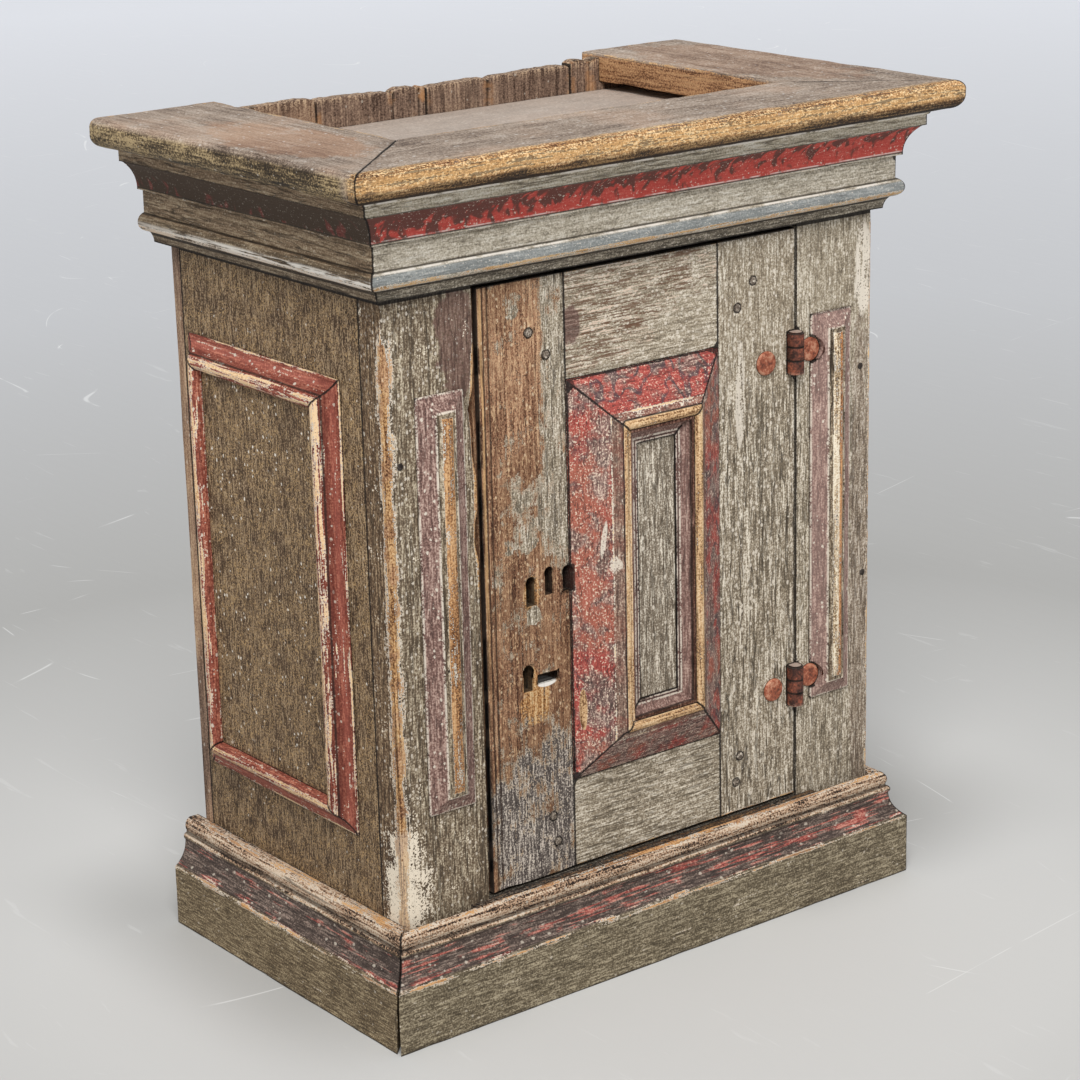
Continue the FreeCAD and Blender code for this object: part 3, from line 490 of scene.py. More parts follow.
BROWN = ((78, 46, 26), (164, 119, 84), (208, 166, 124))
YELLOW = ((96, 60, 32), (200, 152, 100), (232, 198, 150))
GREY = ((60, 50, 38), (177, 162, 138), (242, 232, 213))
STILE_GREY = ((52, 41, 30), (136, 117, 94), (212, 198, 172))
OLIVE = ((42, 31, 19), (115, 89, 65), (182, 157, 124))
RED = ((88, 44, 40), (188, 86, 76), (222, 152, 134))
PLUM = ((62, 44, 40), (140, 106, 96), (196, 168, 154))
CHALK = rgb(230, 219, 202)
# near black, for real dirt and for painted shadow
SOOT_AND_SHADOW = rgb(24, 18, 14)


def seam_dirt(look, colour, reach=1.8 * MM):
    """Dark dirt in the joints between boards."""
    dirt = (look.joint + look.fine.swing(0.8 * reach)).fall(0.3 * reach, reach)
    return colour.coat(dirt * 0.95, SOOT_AND_SHADOW)


def end_paint(look, colour, worn_off, relief=0.5, dirt=1.8 * MM):
    """End a painted finish: painted shade towards the foot, a painted shadow line over the door, flakes
    stand out, cracks and grain lie below.
    """
    x, y, z = look.axes
    # painted shade: the paint gets darker towards the foot
    painted_foot_shade = z.fall(0.05, 0.64) * 0.32
    colour = colour.coat(painted_foot_shade, rgb(150, 138, 124), "MULTIPLY")
    # painted shadow in the gap over the door and at the foot of the neck moulding
    over_door = (abs(x) - DOOR_HALF).fall(0.0, 1 * MM)
    gap_shadow = (z + over_door * (1.4 * MM)).rise(*GAP_SHADOW_FOOT) * z.fall(*GAP_SHADOW_TOP)
    gap_shadow = gap_shadow * (1 - (y - FRONT).rise(8 * MM, 12 * MM) * over_door)
    colour = colour.coat(gap_shadow * 0.92, SOOT_AND_SHADOW)
    inner = look.wood((74, 53, 40), (146, 117, 94), (190, 160, 132), deep=0.55)
    colour = colour.coat(look.stored("unpainted"), inner)
    height = look.fine * 0.5 + look.weave * 0.4 + look.streak * 0.6
    height = height - worn_off * 0.6 - look.cracks * 0.6
    return look.close(seam_dirt(look, colour, dirt), 0.72 + worn_off * 0.08, height, relief, 0.7 * MM)


def grey_boards(name, shades, corner=0.7, flecks=0.3, places=(), lines=0.8, dirt=1.8 * MM):
    """Grey-green mottled paint; places are worn patches as (kind, middle, size, amount) on x and z."""
    look = Boards(name)
    x, _, z = look.axes
    on_side = (x - RIGHT + SKIN).rise(0.0, 0.6 * MM)
    calm = look.paint(*shades, curl=0.9, lines=0.35, contrast=0.75)
    paint = look.mix(z.rise(0.48, 0.58), look.paint(*shades, curl=0.9, lines=lines, contrast=0.98), calm)
    paint = paint.coat(on_side, look.paint(*OLIVE))
    paint = paint.coat(look.flecks(flecks) * 0.85, CHALK)
    bare = look.mix(look.cloud.rise(0.42, 0.6), look.wood(*BROWN), look.wood(*YELLOW))
    wear = look.corner(6 * MM) * corner + look.ragged(1.0, 0.9, 0.6)
    chalk = None
    for kind, middle, size, amount in places:
        patch = look.patch(x, z, middle, size, 0.6)
        if kind == "dashes":
            ticks = look.streak + look.weave.swing(0.5) + (amount - 0.5) * 0.2
            paint = paint.coat(patch * ticks.fall(0.36, 0.44) * 0.8, rgb(112, 82, 62))
            paint = paint.coat(patch * ticks.rise(0.54, 0.60) * 0.85, rgb(228, 204, 182))
        elif kind == "plum":
            plum = look.paint((70, 50, 44), (116, 88, 78), (160, 132, 118), contrast=0.6)
            paint = paint.coat(patch * amount, plum)
        else:
            spot = patch * amount * (look.streak + look.fine - 1.0).rise(-0.14, -0.04) * (1 - on_side)
            chalk = spot if chalk is None else chalk.greater(spot)
    colour, worn_off = look.flaked(paint, CHALK, bare, wear)
    if chalk is not None:
        colour = colour.coat(chalk, CHALK)
    return end_paint(look, colour, worn_off, dirt=dirt)


def left_stile_paint():
    """Front left stile: brown-grey front, olive side, worn orange corner and a pale patch at its foot."""
    look = Boards("left_stile_paint")
    x, y, z = look.axes
    on_side = (LEFT + SKIN - x).rise(0.0, 0.6 * MM)
    paint = look.mix(on_side, look.paint(*STILE_GREY, curl=0.5), look.paint(*OLIVE))
    dense = z.rise(0.57, 0.62) * 0.4
    paint = paint.coat((look.flecks(0.3) + look.flecks(0.7, 0.24) * dense).lesser(1.0) * 0.8, CHALK)
    plum = look.patch(x, z, (-0.204, 0.632), (0.022, 0.055), 1.0) * look.fine.rise(0.30, 0.44)
    deep_plum = look.paint((66, 46, 40), (114, 85, 76), (150, 120, 106), contrast=0.5)
    paint = paint.coat(plum * 0.85, deep_plum)
    bare = look.mix(look.cloud.rise(0.45, 0.6), look.wood(*YELLOW), look.wood(*BROWN))
    edge = (x - LEFT).greater(y - FRONT)
    worn_line = edge.fade(16 * MM) * z.fall(0.62, 0.67)
    inner = x.rise(-0.1965, -0.1895) * look.patch(x, z, (-0.19, 0.52), (0.03, 0.11), 0.5)
    wear = look.corner(5 * MM) * 0.3 + worn_line * 0.92 + inner * 0.7 + look.ragged(0.9, 0.8, 1.0)
    foot = edge.fade(40 * MM) * z.fall(0.15, 0.235)
    chalk = (foot * 1.1 + look.ragged(1.8, 1.6, 0.8)).rise(0.42, 0.52)
    colour, worn_off = look.flaked(paint, CHALK, bare, wear)
    colour = colour.coat(chalk * (1 - worn_off * 0.75) * look.fine.rise(0.30, 0.42), rgb(255, 242, 220))
    return end_paint(look, colour, worn_off)


def olive_boards():
    """Dark olive paint of the sides, with curled brush lines and pale scratches."""
    look = Boards("olive_boards")
    _, y, z = look.axes
    paint = look.paint(*OLIVE, curl=0.0, lines=0.4, contrast=1.4)
    gold = look.speckle(look.grain, 130.0, 1.0, 0.5, 2.4).veins(0.012, 0.040) * look.cloud.rise(0.38, 0.52)
    paint = paint.coat(gold * 0.9, rgb(192, 159, 113))
    paint = paint.coat(look.weave.fall(0.34, 0.42) * 0.5, rgb(46, 36, 24))
    paint = paint.coat(look.flecks(0.10, 0.26), rgb(240, 232, 218))
    wear = look.corner(5 * MM) * 0.6 + look.ragged(0.8, 0.8, 0.5)
    scuff = look.patch(y, z, (0.026, 0.336), (0.022, 0.035), 0.9)
    scuff = scuff.greater(look.patch(y, z, (0.018, 0.535), (0.02, 0.015), 0.9))
    scuff = scuff.greater(look.patch(y, z, (0.121, 0.206), (0.014, 0.012), 0.6))
    foot = (y - FRONT).fade(0.07) * z.fall(0.12, 0.24)
    rear = y.rise(0.15, 0.176) * 0.12
    wear = wear + scuff * 0.2 + foot * 0.22 + rear
    colour, worn_off = look.flaked(paint, CHALK, look.wood(*YELLOW), wear)
    return end_paint(look, colour, worn_off)


def lock_stile_wood():
    """Bare brown wood of the lock stile, with peeling grey paint along its right side and foot."""
    look = Boards("lock_stile_wood")
    x, y, z = look.axes
    bare = look.wood((84, 49, 32), (176, 131, 99), (222, 184, 146), deep=0.85)
    stain = (look.broad * 0.5 + look.cloud * 0.5 - z * 0.35).rise(0.26, 0.42)
    bare = bare.coat(stain * 0.65, rgb(146, 124, 108), "MULTIPLY")
    bare = bare.coat(look.flecks(0.16, 0.26) * 0.7, rgb(230, 206, 172))
    bare = bare.coat(look.grit(0.55) * 0.7, rgb(84, 56, 40))
    bare = bare.coat(look.weave.fall(0.37, 0.43) * 0.6, rgb(226, 190, 148))
    paint = look.mix(z.fall(0.22, 0.34), look.paint(*GREY),
                     look.paint((50, 43, 42), (116, 105, 98), (220, 208, 194), contrast=1.2))
    paint = paint.coat(look.grit(0.57) * 0.7, CHALK)
    right = (x + look.cloud.swing(0.05)).rise(-0.122, -0.110) * z.rise(0.39, 0.44)
    foot = z.fall(0.19, 0.30)
    middle = look.patch(x, z, (-0.138, 0.468), (0.030, 0.040), 1.4)
    scrap = look.patch(x, z, (-0.146, 0.655), (0.010, 0.012), 1.6)
    scrap = scrap.greater(look.patch(x, z, (-0.129, 0.366), (0.008, 0.009), 0.8) * 1.2)
    wear = 0.86 - right * 0.56 - foot * 0.54 - middle * 0.26 - scrap * 0.36 + look.ragged(1.9, 0.7, 0.8)
    wear = wear + x.fall(-0.182, -0.172) * 0.3 - z.band(0.33, 0.47, 0.04) * 0.10
    fresh = look.patch(x, z, (-0.130, 0.283), (0.018, 0.024), 0.8)
    for across, up, wide, tall in FRESH_WOOD:
        fresh = fresh.greater(look.patch(x, z, (across, up), (wide, tall), 0.5) * 0.8)
    bare = bare.coat(fresh * 0.8, look.wood((110, 66, 30), (204, 150, 90), (240, 208, 158)))
    ground = look.paint((150, 128, 104), (200, 182, 158), (230, 219, 202))
    colour, worn_off = look.flaked(paint, ground, bare, wear)
    rim = wear.band(0.59, 0.64, 0.012)
    colour = colour.coat(rim * 0.75, rgb(58, 40, 29))
    chip = look.patch(x, z, (-0.1165, 0.2985), (0.011, 0.0036), 0.15)
    colour = colour.coat(chip, rgb(250, 246, 238))
    groove = abs(x - GROOVES[0]).lesser(abs(x - GROOVES[1]))
    colour = colour.coat(groove.fall(0.5 * MM, 1.3 * MM) * 0.8, rgb(52, 34, 24))
    deep = y - FRONT
    strip = x.band(-0.1824, -0.1790, 0.5 * MM) * z.rise(0.25, 0.4) * groove.fall(0.0, 9 * MM)
    colour = colour.coat(strip * look.streak.rise(0.36, 0.56) * 0.7, rgb(214, 172, 116))
    # painted shadow in the gap at the door's meeting edge
    gap_shadow = x.fall(-0.1834, -0.1826) * deep.fall(4.5 * MM, 6.5 * MM)
    colour = colour.coat(gap_shadow * 0.95, SOOT_AND_SHADOW)
    # painted shadow inside the keyholes
    keyhole_shadow = deep.rise(0.8 * MM, 3 * MM) * x.band(-0.152, -0.090, 1 * MM)
    colour = colour.coat(keyhole_shadow * z.band(0.285, 0.425, 1 * MM) * 0.85, SOOT_AND_SHADOW)
    return end_paint(look, colour, worn_off, 0.6)


def border_paint(name, strokes, grit, plum, brown):
    """Marbled red paint of the door's sloping border, worn to yellow wood on its crest."""
    look = Boards(name)
    x, _, z = look.axes
    rim = look.rim(x, z, *DOOR_PANEL)
    red = look.paint(*RED, lines=0.3, curl=0.5, contrast=0.6)
    red = red.coat(look.broad.rise(0.48, 0.58) * 0.45, rgb(166, 116, 90))
    mark = look.speckle(look.stretched(look.place, (1.0, 1.0, 0.75)), 46.0, 0.0, 0.5, 0.9)
    marks = mark.veins(0.035, 0.085) * look.cloud.rise(0.36, 0.52)
    red = red.coat(marks * strokes, rgb(76, 62, 68))
    shade = (look.cloud * 0.7 + look.figure * 0.3 + plum * 0.5).rise(0.56, 0.68)
    red = red.coat(shade * 0.85, look.paint((56, 46, 44), (142, 119, 109), (204, 180, 166)))
    dense = z.band(0.25, 0.43, 0.03) * 0.06
    specks = look.grit(0.66 - grit * 0.12) + look.grit(0.62 - grit * 0.06) * dense * 10.0
    red = red.coat(specks.lesser(1.0) * 0.85, rgb(236, 216, 192))
    dark = look.weave.fall(0.30 + grit * 0.08, 0.36 + grit * 0.08)
    red = red.coat(dark * 0.75, rgb(64, 50, 46))
    step = rim.band(34, 42.5, 1.0)
    red = red.coat(step * 0.75, look.paint((70, 52, 44), (140, 112, 96), (190, 164, 142)))
    inset = x.fall(-0.047, -0.040) * 2.0
    crest = (rim - inset).rise(41.0, 42.0)
    line = rim.band(33, 35, 0.8)
    wear = crest * 0.80 + line * 0.30 + step * brown + look.ragged(0.9, 0.8, 0.6)
    wear = wear + look.patch(x, z, (-0.0798, 0.265), (0.0035, 0.021), 0.12)
    scrape = look.patch(x - z * 0.12, z, (-0.112, 0.425), (0.0022, 0.018), 0.5)
    scrape = scrape.greater(look.patch(x, z, (-0.052, 0.402), (0.005, 0.009), 1.4))
    red = red.coat(scrape * look.fine.rise(0.36, 0.46) * 0.85, CHALK)
    yellow = look.wood((104, 68, 38), (212, 172, 126), (240, 212, 172), deep=0.8)
    colour, worn_off = look.flaked(red, CHALK, yellow, wear)
    colour = colour.coat((rim - inset).band(40.3, 41.5, 0.4) * 0.9, SOOT_AND_SHADOW)
    # painted shadow of the keyhole, running onto the border
    keyhole_shadow = rim.fall(3.0, 4.0) * x.fall(-0.05, -0.04) * z.band(0.380, 0.406, 1 * MM)
    colour = colour.coat(keyhole_shadow * 0.9, SOOT_AND_SHADOW)
    return end_paint(look, colour, worn_off)


def inner_bead_paint():
    """Small moulding round the door's field: plum and mauve with pale and dark lines."""
    look = Boards("inner_bead_paint")
    x, _, z = look.axes
    rim = look.rim(x, z, *DOOR_PANEL)
    brown = look.paint((62, 36, 30), (126, 84, 70), (190, 150, 130))
    paint = brown.coat(rim.rise(53.5, 55), look.paint(*PLUM, lines=0.8, contrast=0.7))
    left = x.fall(-0.036, -0.033) * rim.fall(53.2, 54.0)
    paint = paint.coat(left, look.wood((140, 98, 62), (255, 214, 166), (255, 238, 206), deep=0.8))
    pale = rim.band(61.5, 63.2, 0.5).greater(rim.band(65.2, 66.6, 0.4))
    pale = pale * (look.cloud + look.fine).rise(0.86, 1.0)
    paint = paint.coat(pale * 0.85, CHALK)
    dark = rim.band(63.6, 64.6, 0.3).greater(rim.rise(66.8, 67.4))
    dark = dark.greater(rim.band(53.6, 54.6, 0.3))
    wear = look.corner(3 * MM) * 0.2 + look.ragged(0.8, 0.8, 0.8)
    colour, worn_off = look.flaked(paint, CHALK, look.wood(*YELLOW), wear)
    colour = colour.coat(dark * 0.8, SOOT_AND_SHADOW)
    return end_paint(look, colour, worn_off)


def side_moulding_paint():
    """Red mouldings round the side panels: smooth cove with a painted highlight and painted shade, worn
    bead, a painted shadow line between them; the front upright is darkened as painted shade.
    """
    look = Boards("side_moulding_paint")
    _, y, z = look.axes
    low = (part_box("side_moulding_left_front")[0].y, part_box("side_moulding_left_bottom")[0].z)
    high = (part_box("side_moulding_left_back")[1].y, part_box("side_moulding_left_top")[1].z)
    rim = look.rim(y, z, low, high)
    red = look.paint((84, 38, 30), (160, 84, 66), (204, 136, 110), lines=0.6)
    # painted highlight across the middle of the cove
    cove_highlight = rim.band(4, 10, 3)
    red = red.coat(cove_highlight * 0.35, rgb(206, 120, 104))
    # painted shade along the cove next to the groove
    red = red.coat(rim.band(11.5, 15, 1.5) * 0.5, rgb(112, 50, 40))
    red = red.coat(look.flecks(0.2) * 0.8, CHALK)
    bead = rim.band(16.5, 27, 2.0)
    edge = rim.fall(0.5, 2.5)
    # painted shade on the front upright moulding
    upright_shade = (y - low[0]).fall(24 * MM, 32 * MM)
    red = red.coat(upright_shade * 0.6, rgb(196, 178, 172), "MULTIPLY")
    wear = bead * 0.53 + edge * 0.46 + look.ragged(0.6, 1.1, 2.4)
    bare = look.wood((110, 70, 40), (216, 168, 120), (244, 212, 168))
    colour, worn_off = look.flaked(red, CHALK, bare, wear)
    # painted shadow in the groove between cove and bead
    shadow_line = rim.band(14.6, 16.2, 0.5)
    colour = colour.coat(shadow_line * 0.8, SOOT_AND_SHADOW)
    return end_paint(look, colour, worn_off, 0.4)


def strip_paint():
    """Strips on the front stiles: plum coves, pale lines, grey quirks and a yellow worn crest."""
    look = Boards("strip_paint")
    x, _, z = look.axes
    sides = [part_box("stile_strip_left"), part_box("stile_strip_right")]
    rims = [look.rim(x, z, (low.x, low.z), (high.x, high.z)) for low, high in sides]
    rim = rims[0].greater(rims[1])
    plum = look.paint(*PLUM, lines=0.6)
    plum = plum.coat(x.rise(-0.01, 0.01) * 0.18, rgb(212, 182, 170))
    plum = plum.coat(look.flecks(0.3, 0.26) * 0.85, CHALK)
    crest = rim.rise(18.5, 20.5)
    paint = look.mix(rim.rise(14.5, 16), plum, look.paint(*STILE_GREY, lines=1.4))
    wear = crest * 0.72 + look.ragged(0.9, 0.8, 0.9)
    middle = (sides[1][0].x + sides[1][1].x) / 2
    streaky = look.wood((84, 62, 40), (206, 178, 140), (246, 234, 210), deep=1.3)
    rubbed = look.mix((x - middle).rise(0.0, 2 * MM), streaky,
                      look.wood((112, 64, 30), (198, 138, 90), (230, 176, 124)))
    on_left = look.wood((92, 56, 30), (186, 136, 90), (222, 180, 132))
    rubbed = on_left.coat(x.rise(-0.01, 0.01), rubbed)
    colour, worn_off = look.flaked(paint, CHALK, rubbed, wear)
    line = rim.fall(0.6, 2.0).greater(rim.band(14.3, 16, 0.5))
    line = line * (look.cloud + look.fine - 0.5).rise(0.40, 0.52)
    colour = colour.coat(line * 0.85, CHALK)
    return end_paint(look, colour, worn_off)


def turned_side(look):
    """1 on the mouldings of the two sides, 0 on the front, split at the mitres."""
    x, y, _ = look.axes
    return ((abs(x) - RIGHT) - (FRONT - y)).rise(-0.0005, 0.0005)


def cornice_paint():
    """Frieze and crown: grey flats, red marbled cove, blue-grey bead over a tan line, olive on the sides."""
    look = Boards("cornice_paint")
    x, y, z = look.axes
    side = turned_side(look)
    # the front grey is paler than the body's grey, partly as painted light against the shade under the top's
    # overhang
    grey = look.paint((70, 61, 50), (206, 194, 172), (246, 240, 227), 0.9, 0.3, 0.7)
    grey = grey.coat(side, look.paint((40, 30, 20), (148, 124, 97), (196, 176, 146), 0.4, 1.0, 0.6))
    # painted light: the fillet below the nose gets a paler grey to make up for the nose's shadow
    fillet = z.rise(0.7575, 0.7590) * (1 - side)
    fillet_grey_painted_light = look.paint((84, 74, 60), (214, 200, 174), (246, 240, 226), contrast=0.7)
    grey = grey.coat(fillet, fillet_grey_painted_light)
    red = look.paint(*RED, lines=0.3, curl=0.4, contrast=0.6)
    slant = look.node("ShaderNodeCombineXYZ", sockets={0: x + y, 1: z * 0.8 + x * 0.5, 2: 0.0})
    stroke = look.speckle(slant, 95.0, 1.0, 0.5, 0.7) - x * 0.22 + (z - 0.7465) * 11.0
    stroke = stroke + x.fall(-0.31, -0.15) * 0.09
    red = red.coat((1 - side) * 0.6, rgb(214, 78, 66))
    red = red.coat(stroke.rise(0.46, 0.60) * 0.85, rgb(84, 64, 56))
    faded = side * (stroke * 0.5 + look.broad * 0.6).rise(0.47, 0.56)
    red = look.mix(faded, look.mix(side * 0.65, red, rgb(60, 46, 36)), rgb(74, 58, 44))
    cove = z.band(0.7325, 0.7575, 0.0008)
    bead = z.band(0.6965, 0.7050, 0.0008)
    blue = look.paint((56, 56, 54), (152, 155, 152), (212, 211, 205), 0.3, 0.3, 0.4)
    blue = blue.coat(side, look.paint((46, 37, 27), (122, 103, 80), (180, 162, 134), 0.5, 1.0, 0.6))
    paint = look.mix(cove, grey, red)
    paint = paint.coat(bead, blue)
    # dark neck below the bead: dark paint, deepened as painted shade below the bead
    neck_dark_and_shade = z.fall(0.6905, 0.6925) * (1 - side * 0.5)
    paint = paint.coat(neck_dark_and_shade * 0.85, look.paint((40, 34, 27), (122, 111, 94), (186, 174, 152)))
    paint = paint.coat(look.flecks(0.22, 0.18) * (0.7 - side * 0.45), CHALK)
    paint = paint.coat(look.grit(0.60) * (0.8 - side * 0.5), CHALK)
    line = z.band(0.7685, 0.774, 0.001) * 0.36
    line = line.greater(z.band(0.6920, 0.6970, 0.0008) * 0.56)
    line = line.greater(side * z.band(0.6915, 0.698, 0.0012) * 0.36)
    wear = line + look.corner(4 * MM) * 0.35 + look.ragged(0.8, 0.8, 1.0)
    colour, worn_off = look.flaked(paint, CHALK, look.wood(*YELLOW), wear)
    pale = z.band(0.7054, 0.7068, 0.0003).greater(z.band(0.7686, 0.7712, 0.0005)) * (1 - side)
    pale = pale.greater(z.band(0.7330, 0.7341, 0.0003) * (1 - side) * 0.8)
    rubbed = side * z.band(0.6925, 0.7005, 0.0015) * (1 - y.rise(0.02, 0.22) * 0.5)
    rubbed = rubbed * (look.streak + look.cloud * 0.5).rise(0.62, 0.80)
    pale = (pale * look.cloud.rise(0.42, 0.54)).greater(rubbed)
    colour = colour.coat(pale * 0.85, rgb(248, 241, 230))
    # painted shadow: black lines along the mouldings, below the bead and below the top's nose
    edge = z.band(0.7315, 0.7328, 0.0004).greater(z.band(0.7575, 0.7588, 0.0004))
    edge = edge.greater(z.band(0.6882, 0.6916, 0.0004)).greater(z.band(0.7068, 0.7080, 0.0004))
    edge = edge.greater(z.rise(0.7716, 0.7722)).greater(side * z.band(0.6860, 0.6900, 0.0004))
    colour = colour.coat(edge * 0.8, SOOT_AND_SHADOW)
    return end_paint(look, colour, worn_off)


def plinth_paint():
    """Plinth: olive flat, dark plum ogee with red streaks, worn lines on its corners and a worn sill."""
    look = Boards("plinth_paint")
    x, y, z = look.axes
    side = turned_side(look)
    flat = look.mix(side, look.paint((54, 45, 32), (126, 113, 90), (188, 175, 148), lines=0.3),
                    look.paint((52, 41, 26), (128, 109, 82), (190, 172, 138), lines=0.3))
    plum = look.paint((46, 37, 34), (98, 83, 75), (156, 138, 126), curl=0.5)
    streaks = look.streak * 0.5 + look.cloud * 0.35 + look.figure * 0.5
    streaks = streaks - side * 0.035 - x.rise(0.05, 0.30) * 0.045
    plum = plum.coat(streaks.rise(0.675, 0.735) * 0.85, look.paint(*RED))
    paint = look.mix(z.band(0.0615, 0.088, 0.0012), flat, plum)
    ledge = look.wood((46, 34, 26), (194, 157, 126), (232, 214, 190), deep=1.2)
    paint = paint.coat(z.rise(0.0885, 0.0895), ledge)
    paint = paint.coat(look.flecks(0.12) * 0.6, CHALK)
    orange = look.wood((96, 56, 30), (186, 132, 82), (222, 176, 124))
    bare = look.mix(look.broad.rise(0.45, 0.55), look.wood(*BROWN), orange)
    line = z.band(0.0565, 0.0635, 0.0018) * 0.26
    line = line.greater(z.band(0.085, 0.091, 0.0015) * 0.20).greater(z.rise(0.1035, 0.1060) * 0.48)
    line = line + x.band(-0.10, 0.15, 0.05) * z.rise(0.0975, 0.1010) * 0.16
    wear = line + look.corner(4 * MM) * 0.25 + look.ragged(1.3, 0.7, 1.3)
    colour, worn_off = look.flaked(paint, CHALK, bare, wear)
    # painted shadow in the groove of the plinth's top moulding and along the foot where it meets the floor
    shadow_line = z.band(0.0912, 0.0942, 0.0006).greater(z.fall(0.5 * MM, 2.5 * MM))
    colour = colour.coat(shadow_line * 0.75, SOOT_AND_SHADOW)
    drop = look.patch(x, y, (-0.116, -0.169), (0.010, 0.004), 0.1) * z.rise(0.1030, 0.1040)
    colour = colour.coat(drop, rgb(240, 228, 208))
    return end_paint(look, colour, worn_off)


def top_wood():
    """Dusty grey-brown top boards, worn yellow along the front nose with painted highlights on it and
    painted shade on its lower round, orange-brown on the left board.
    """
    look = Boards("top_wood")
    x, y, z = look.axes
    grey = look.wood((82, 66, 55), (163, 144, 127), (206, 190, 174), deep=0.6)
    warm = look.wood((104, 72, 54), (172, 136, 110), (200, 170, 144), deep=0.4)
    orange = look.patch(x, y, (-0.29, -0.02), (0.05, 0.12), 0.4)
    orange = orange.greater(look.patch(x, y, (0.285, 0.04), (0.07, 0.16), 0.6) * 0.6)
    base = look.mix((orange * 0.8).greater(look.broad.rise(0.5, 0.62) * 0.35), grey, warm)
    dust = (look.cloud + look.fine.swing(0.6)).rise(0.56, 0.72)
    base = base.coat(dust * 0.35, rgb(200, 190, 180))
    base = base.coat(look.flecks(0.12, 0.26) * 0.7, rgb(226, 220, 212))
    nose = (FRONT - y).rise(0.042, 0.057)
    # painted shade on the lower round of the nose, which faces down
    underside_shade = (z + look.cloud.swing(0.010)).fall(TOP - 0.0195, TOP - 0.0145)
    underside_shade = underside_shade * (FRONT - y).rise(0.046, 0.050)
    rim = look.corner(20 * MM)
    rub = (nose * 0.62 + rim * 0.42 + look.ragged(1.0, 0.6, 1.0)).rise(0.36, 0.50)
    yellow = look.mix(look.cloud.rise(0.5, 0.7), look.wood(*YELLOW, deep=0.8), look.wood(*BROWN))
    on_left = (-0.325 - x).rise(0.0, 0.012) * (FRONT - y).band(-1.0, 0.045, 0.01)
    edge_paint = look.wood((46, 35, 20), (108, 90, 63), (190, 166, 124))
    edge_paint = edge_paint.coat(look.flecks(0.12) * 0.7, CHALK)
    colour = look.mix(rub, base, yellow)
    colour = colour.coat(on_left * z.fall(TOP - 0.007, TOP - 0.001), edge_paint)
    inner_face = x.band(0.2140, 0.2165, 0.0004) * z.fall(TOP - 0.003, TOP - 0.001)
    inner_wood = look.wood((92, 58, 34), (168, 122, 84), (206, 160, 114))
    colour = colour.coat(inner_face * 0.95, inner_wood)
    low = z.fall(0.766, 0.770)
    colour = colour.coat(low * 0.6, rgb(196, 182, 170))
    # painted highlights along the upper part of the nose
    lit = z.band(TOP - 0.0165, TOP - 0.005, 0.003) * nose
    colour = colour.coat(lit * 0.45, rgb(238, 188, 124))
    shine = (look.streak + look.fine).rise(1.01, 1.11) * nose
    colour = colour.coat(shine * 0.7, rgb(250, 218, 168))
    specks = (look.weave + look.streak).rise(1.04, 1.12) * (nose * 0.5 + 0.2)
    colour = colour.coat(specks, rgb(54, 38, 26))
    colour = colour.coat(underside_shade * 0.85, look.wood((32, 22, 13), (90, 66, 40), (168, 132, 86)))
    # painted shadow: black line below the nose, over the crown
    lip_shadow = z.fall(TOP - 0.0238, TOP - 0.0226) * (FRONT - y).rise(0.040, 0.046)
    colour = colour.coat(lip_shadow * 0.9, SOOT_AND_SHADOW)
    height = look.fine * 0.4 + look.streak * 0.7 - look.cracks * 0.8
    return look.close(seam_dirt(look, colour), 0.6 + dust * 0.2, height, 0.5, 0.7 * MM)


def back_wood():
    """Unpainted boards of the back and the inside."""
    look = Boards("back_wood")
    x, y, z = look.axes
    brown = look.wood((60, 42, 32), (128, 104, 88), (176, 150, 126), deep=0.55)
    pale = look.wood((90, 62, 42), (164, 130, 102), (206, 176, 142), deep=0.6)
    colour = look.mix((look.plank * 0.6 + look.broad.swing(2.0)).rise(0.0, 1.0), brown, pale)
    on_back = y.rise(0.1740, 0.1755)
    upper = on_back * (z + look.broad.swing(0.5)).rise(0.50, 0.60)
    for split in SPLITS:
        near = abs(x - split + look.streak.swing(4 * MM))
        colour = colour.coat(near.fall(0.6 * MM, 1.6 * MM) * upper * 0.8, SOOT_AND_SHADOW)
        stain = near.fall(3 * MM, 9 * MM) * look.cloud.rise(0.45, 0.6) * z.rise(0.70, 0.76)
        colour = colour.coat(stain * on_back * 0.5, rgb(184, 132, 84))
    crown = z.rise(TOP - 0.016, TOP - 0.002) * (look.streak + look.fine).rise(0.98, 1.1)
    colour = colour.coat(crown * 0.8, rgb(206, 178, 146))
    colour = colour.coat(look.flecks(0.06) * 0.4, CHALK)
    height = look.streak * 0.9 + look.fine * 0.3 - look.cracks
    return look.close(seam_dirt(look, colour), 0.76 + look.fine.swing(0.2), height, 0.4, 0.6 * MM)


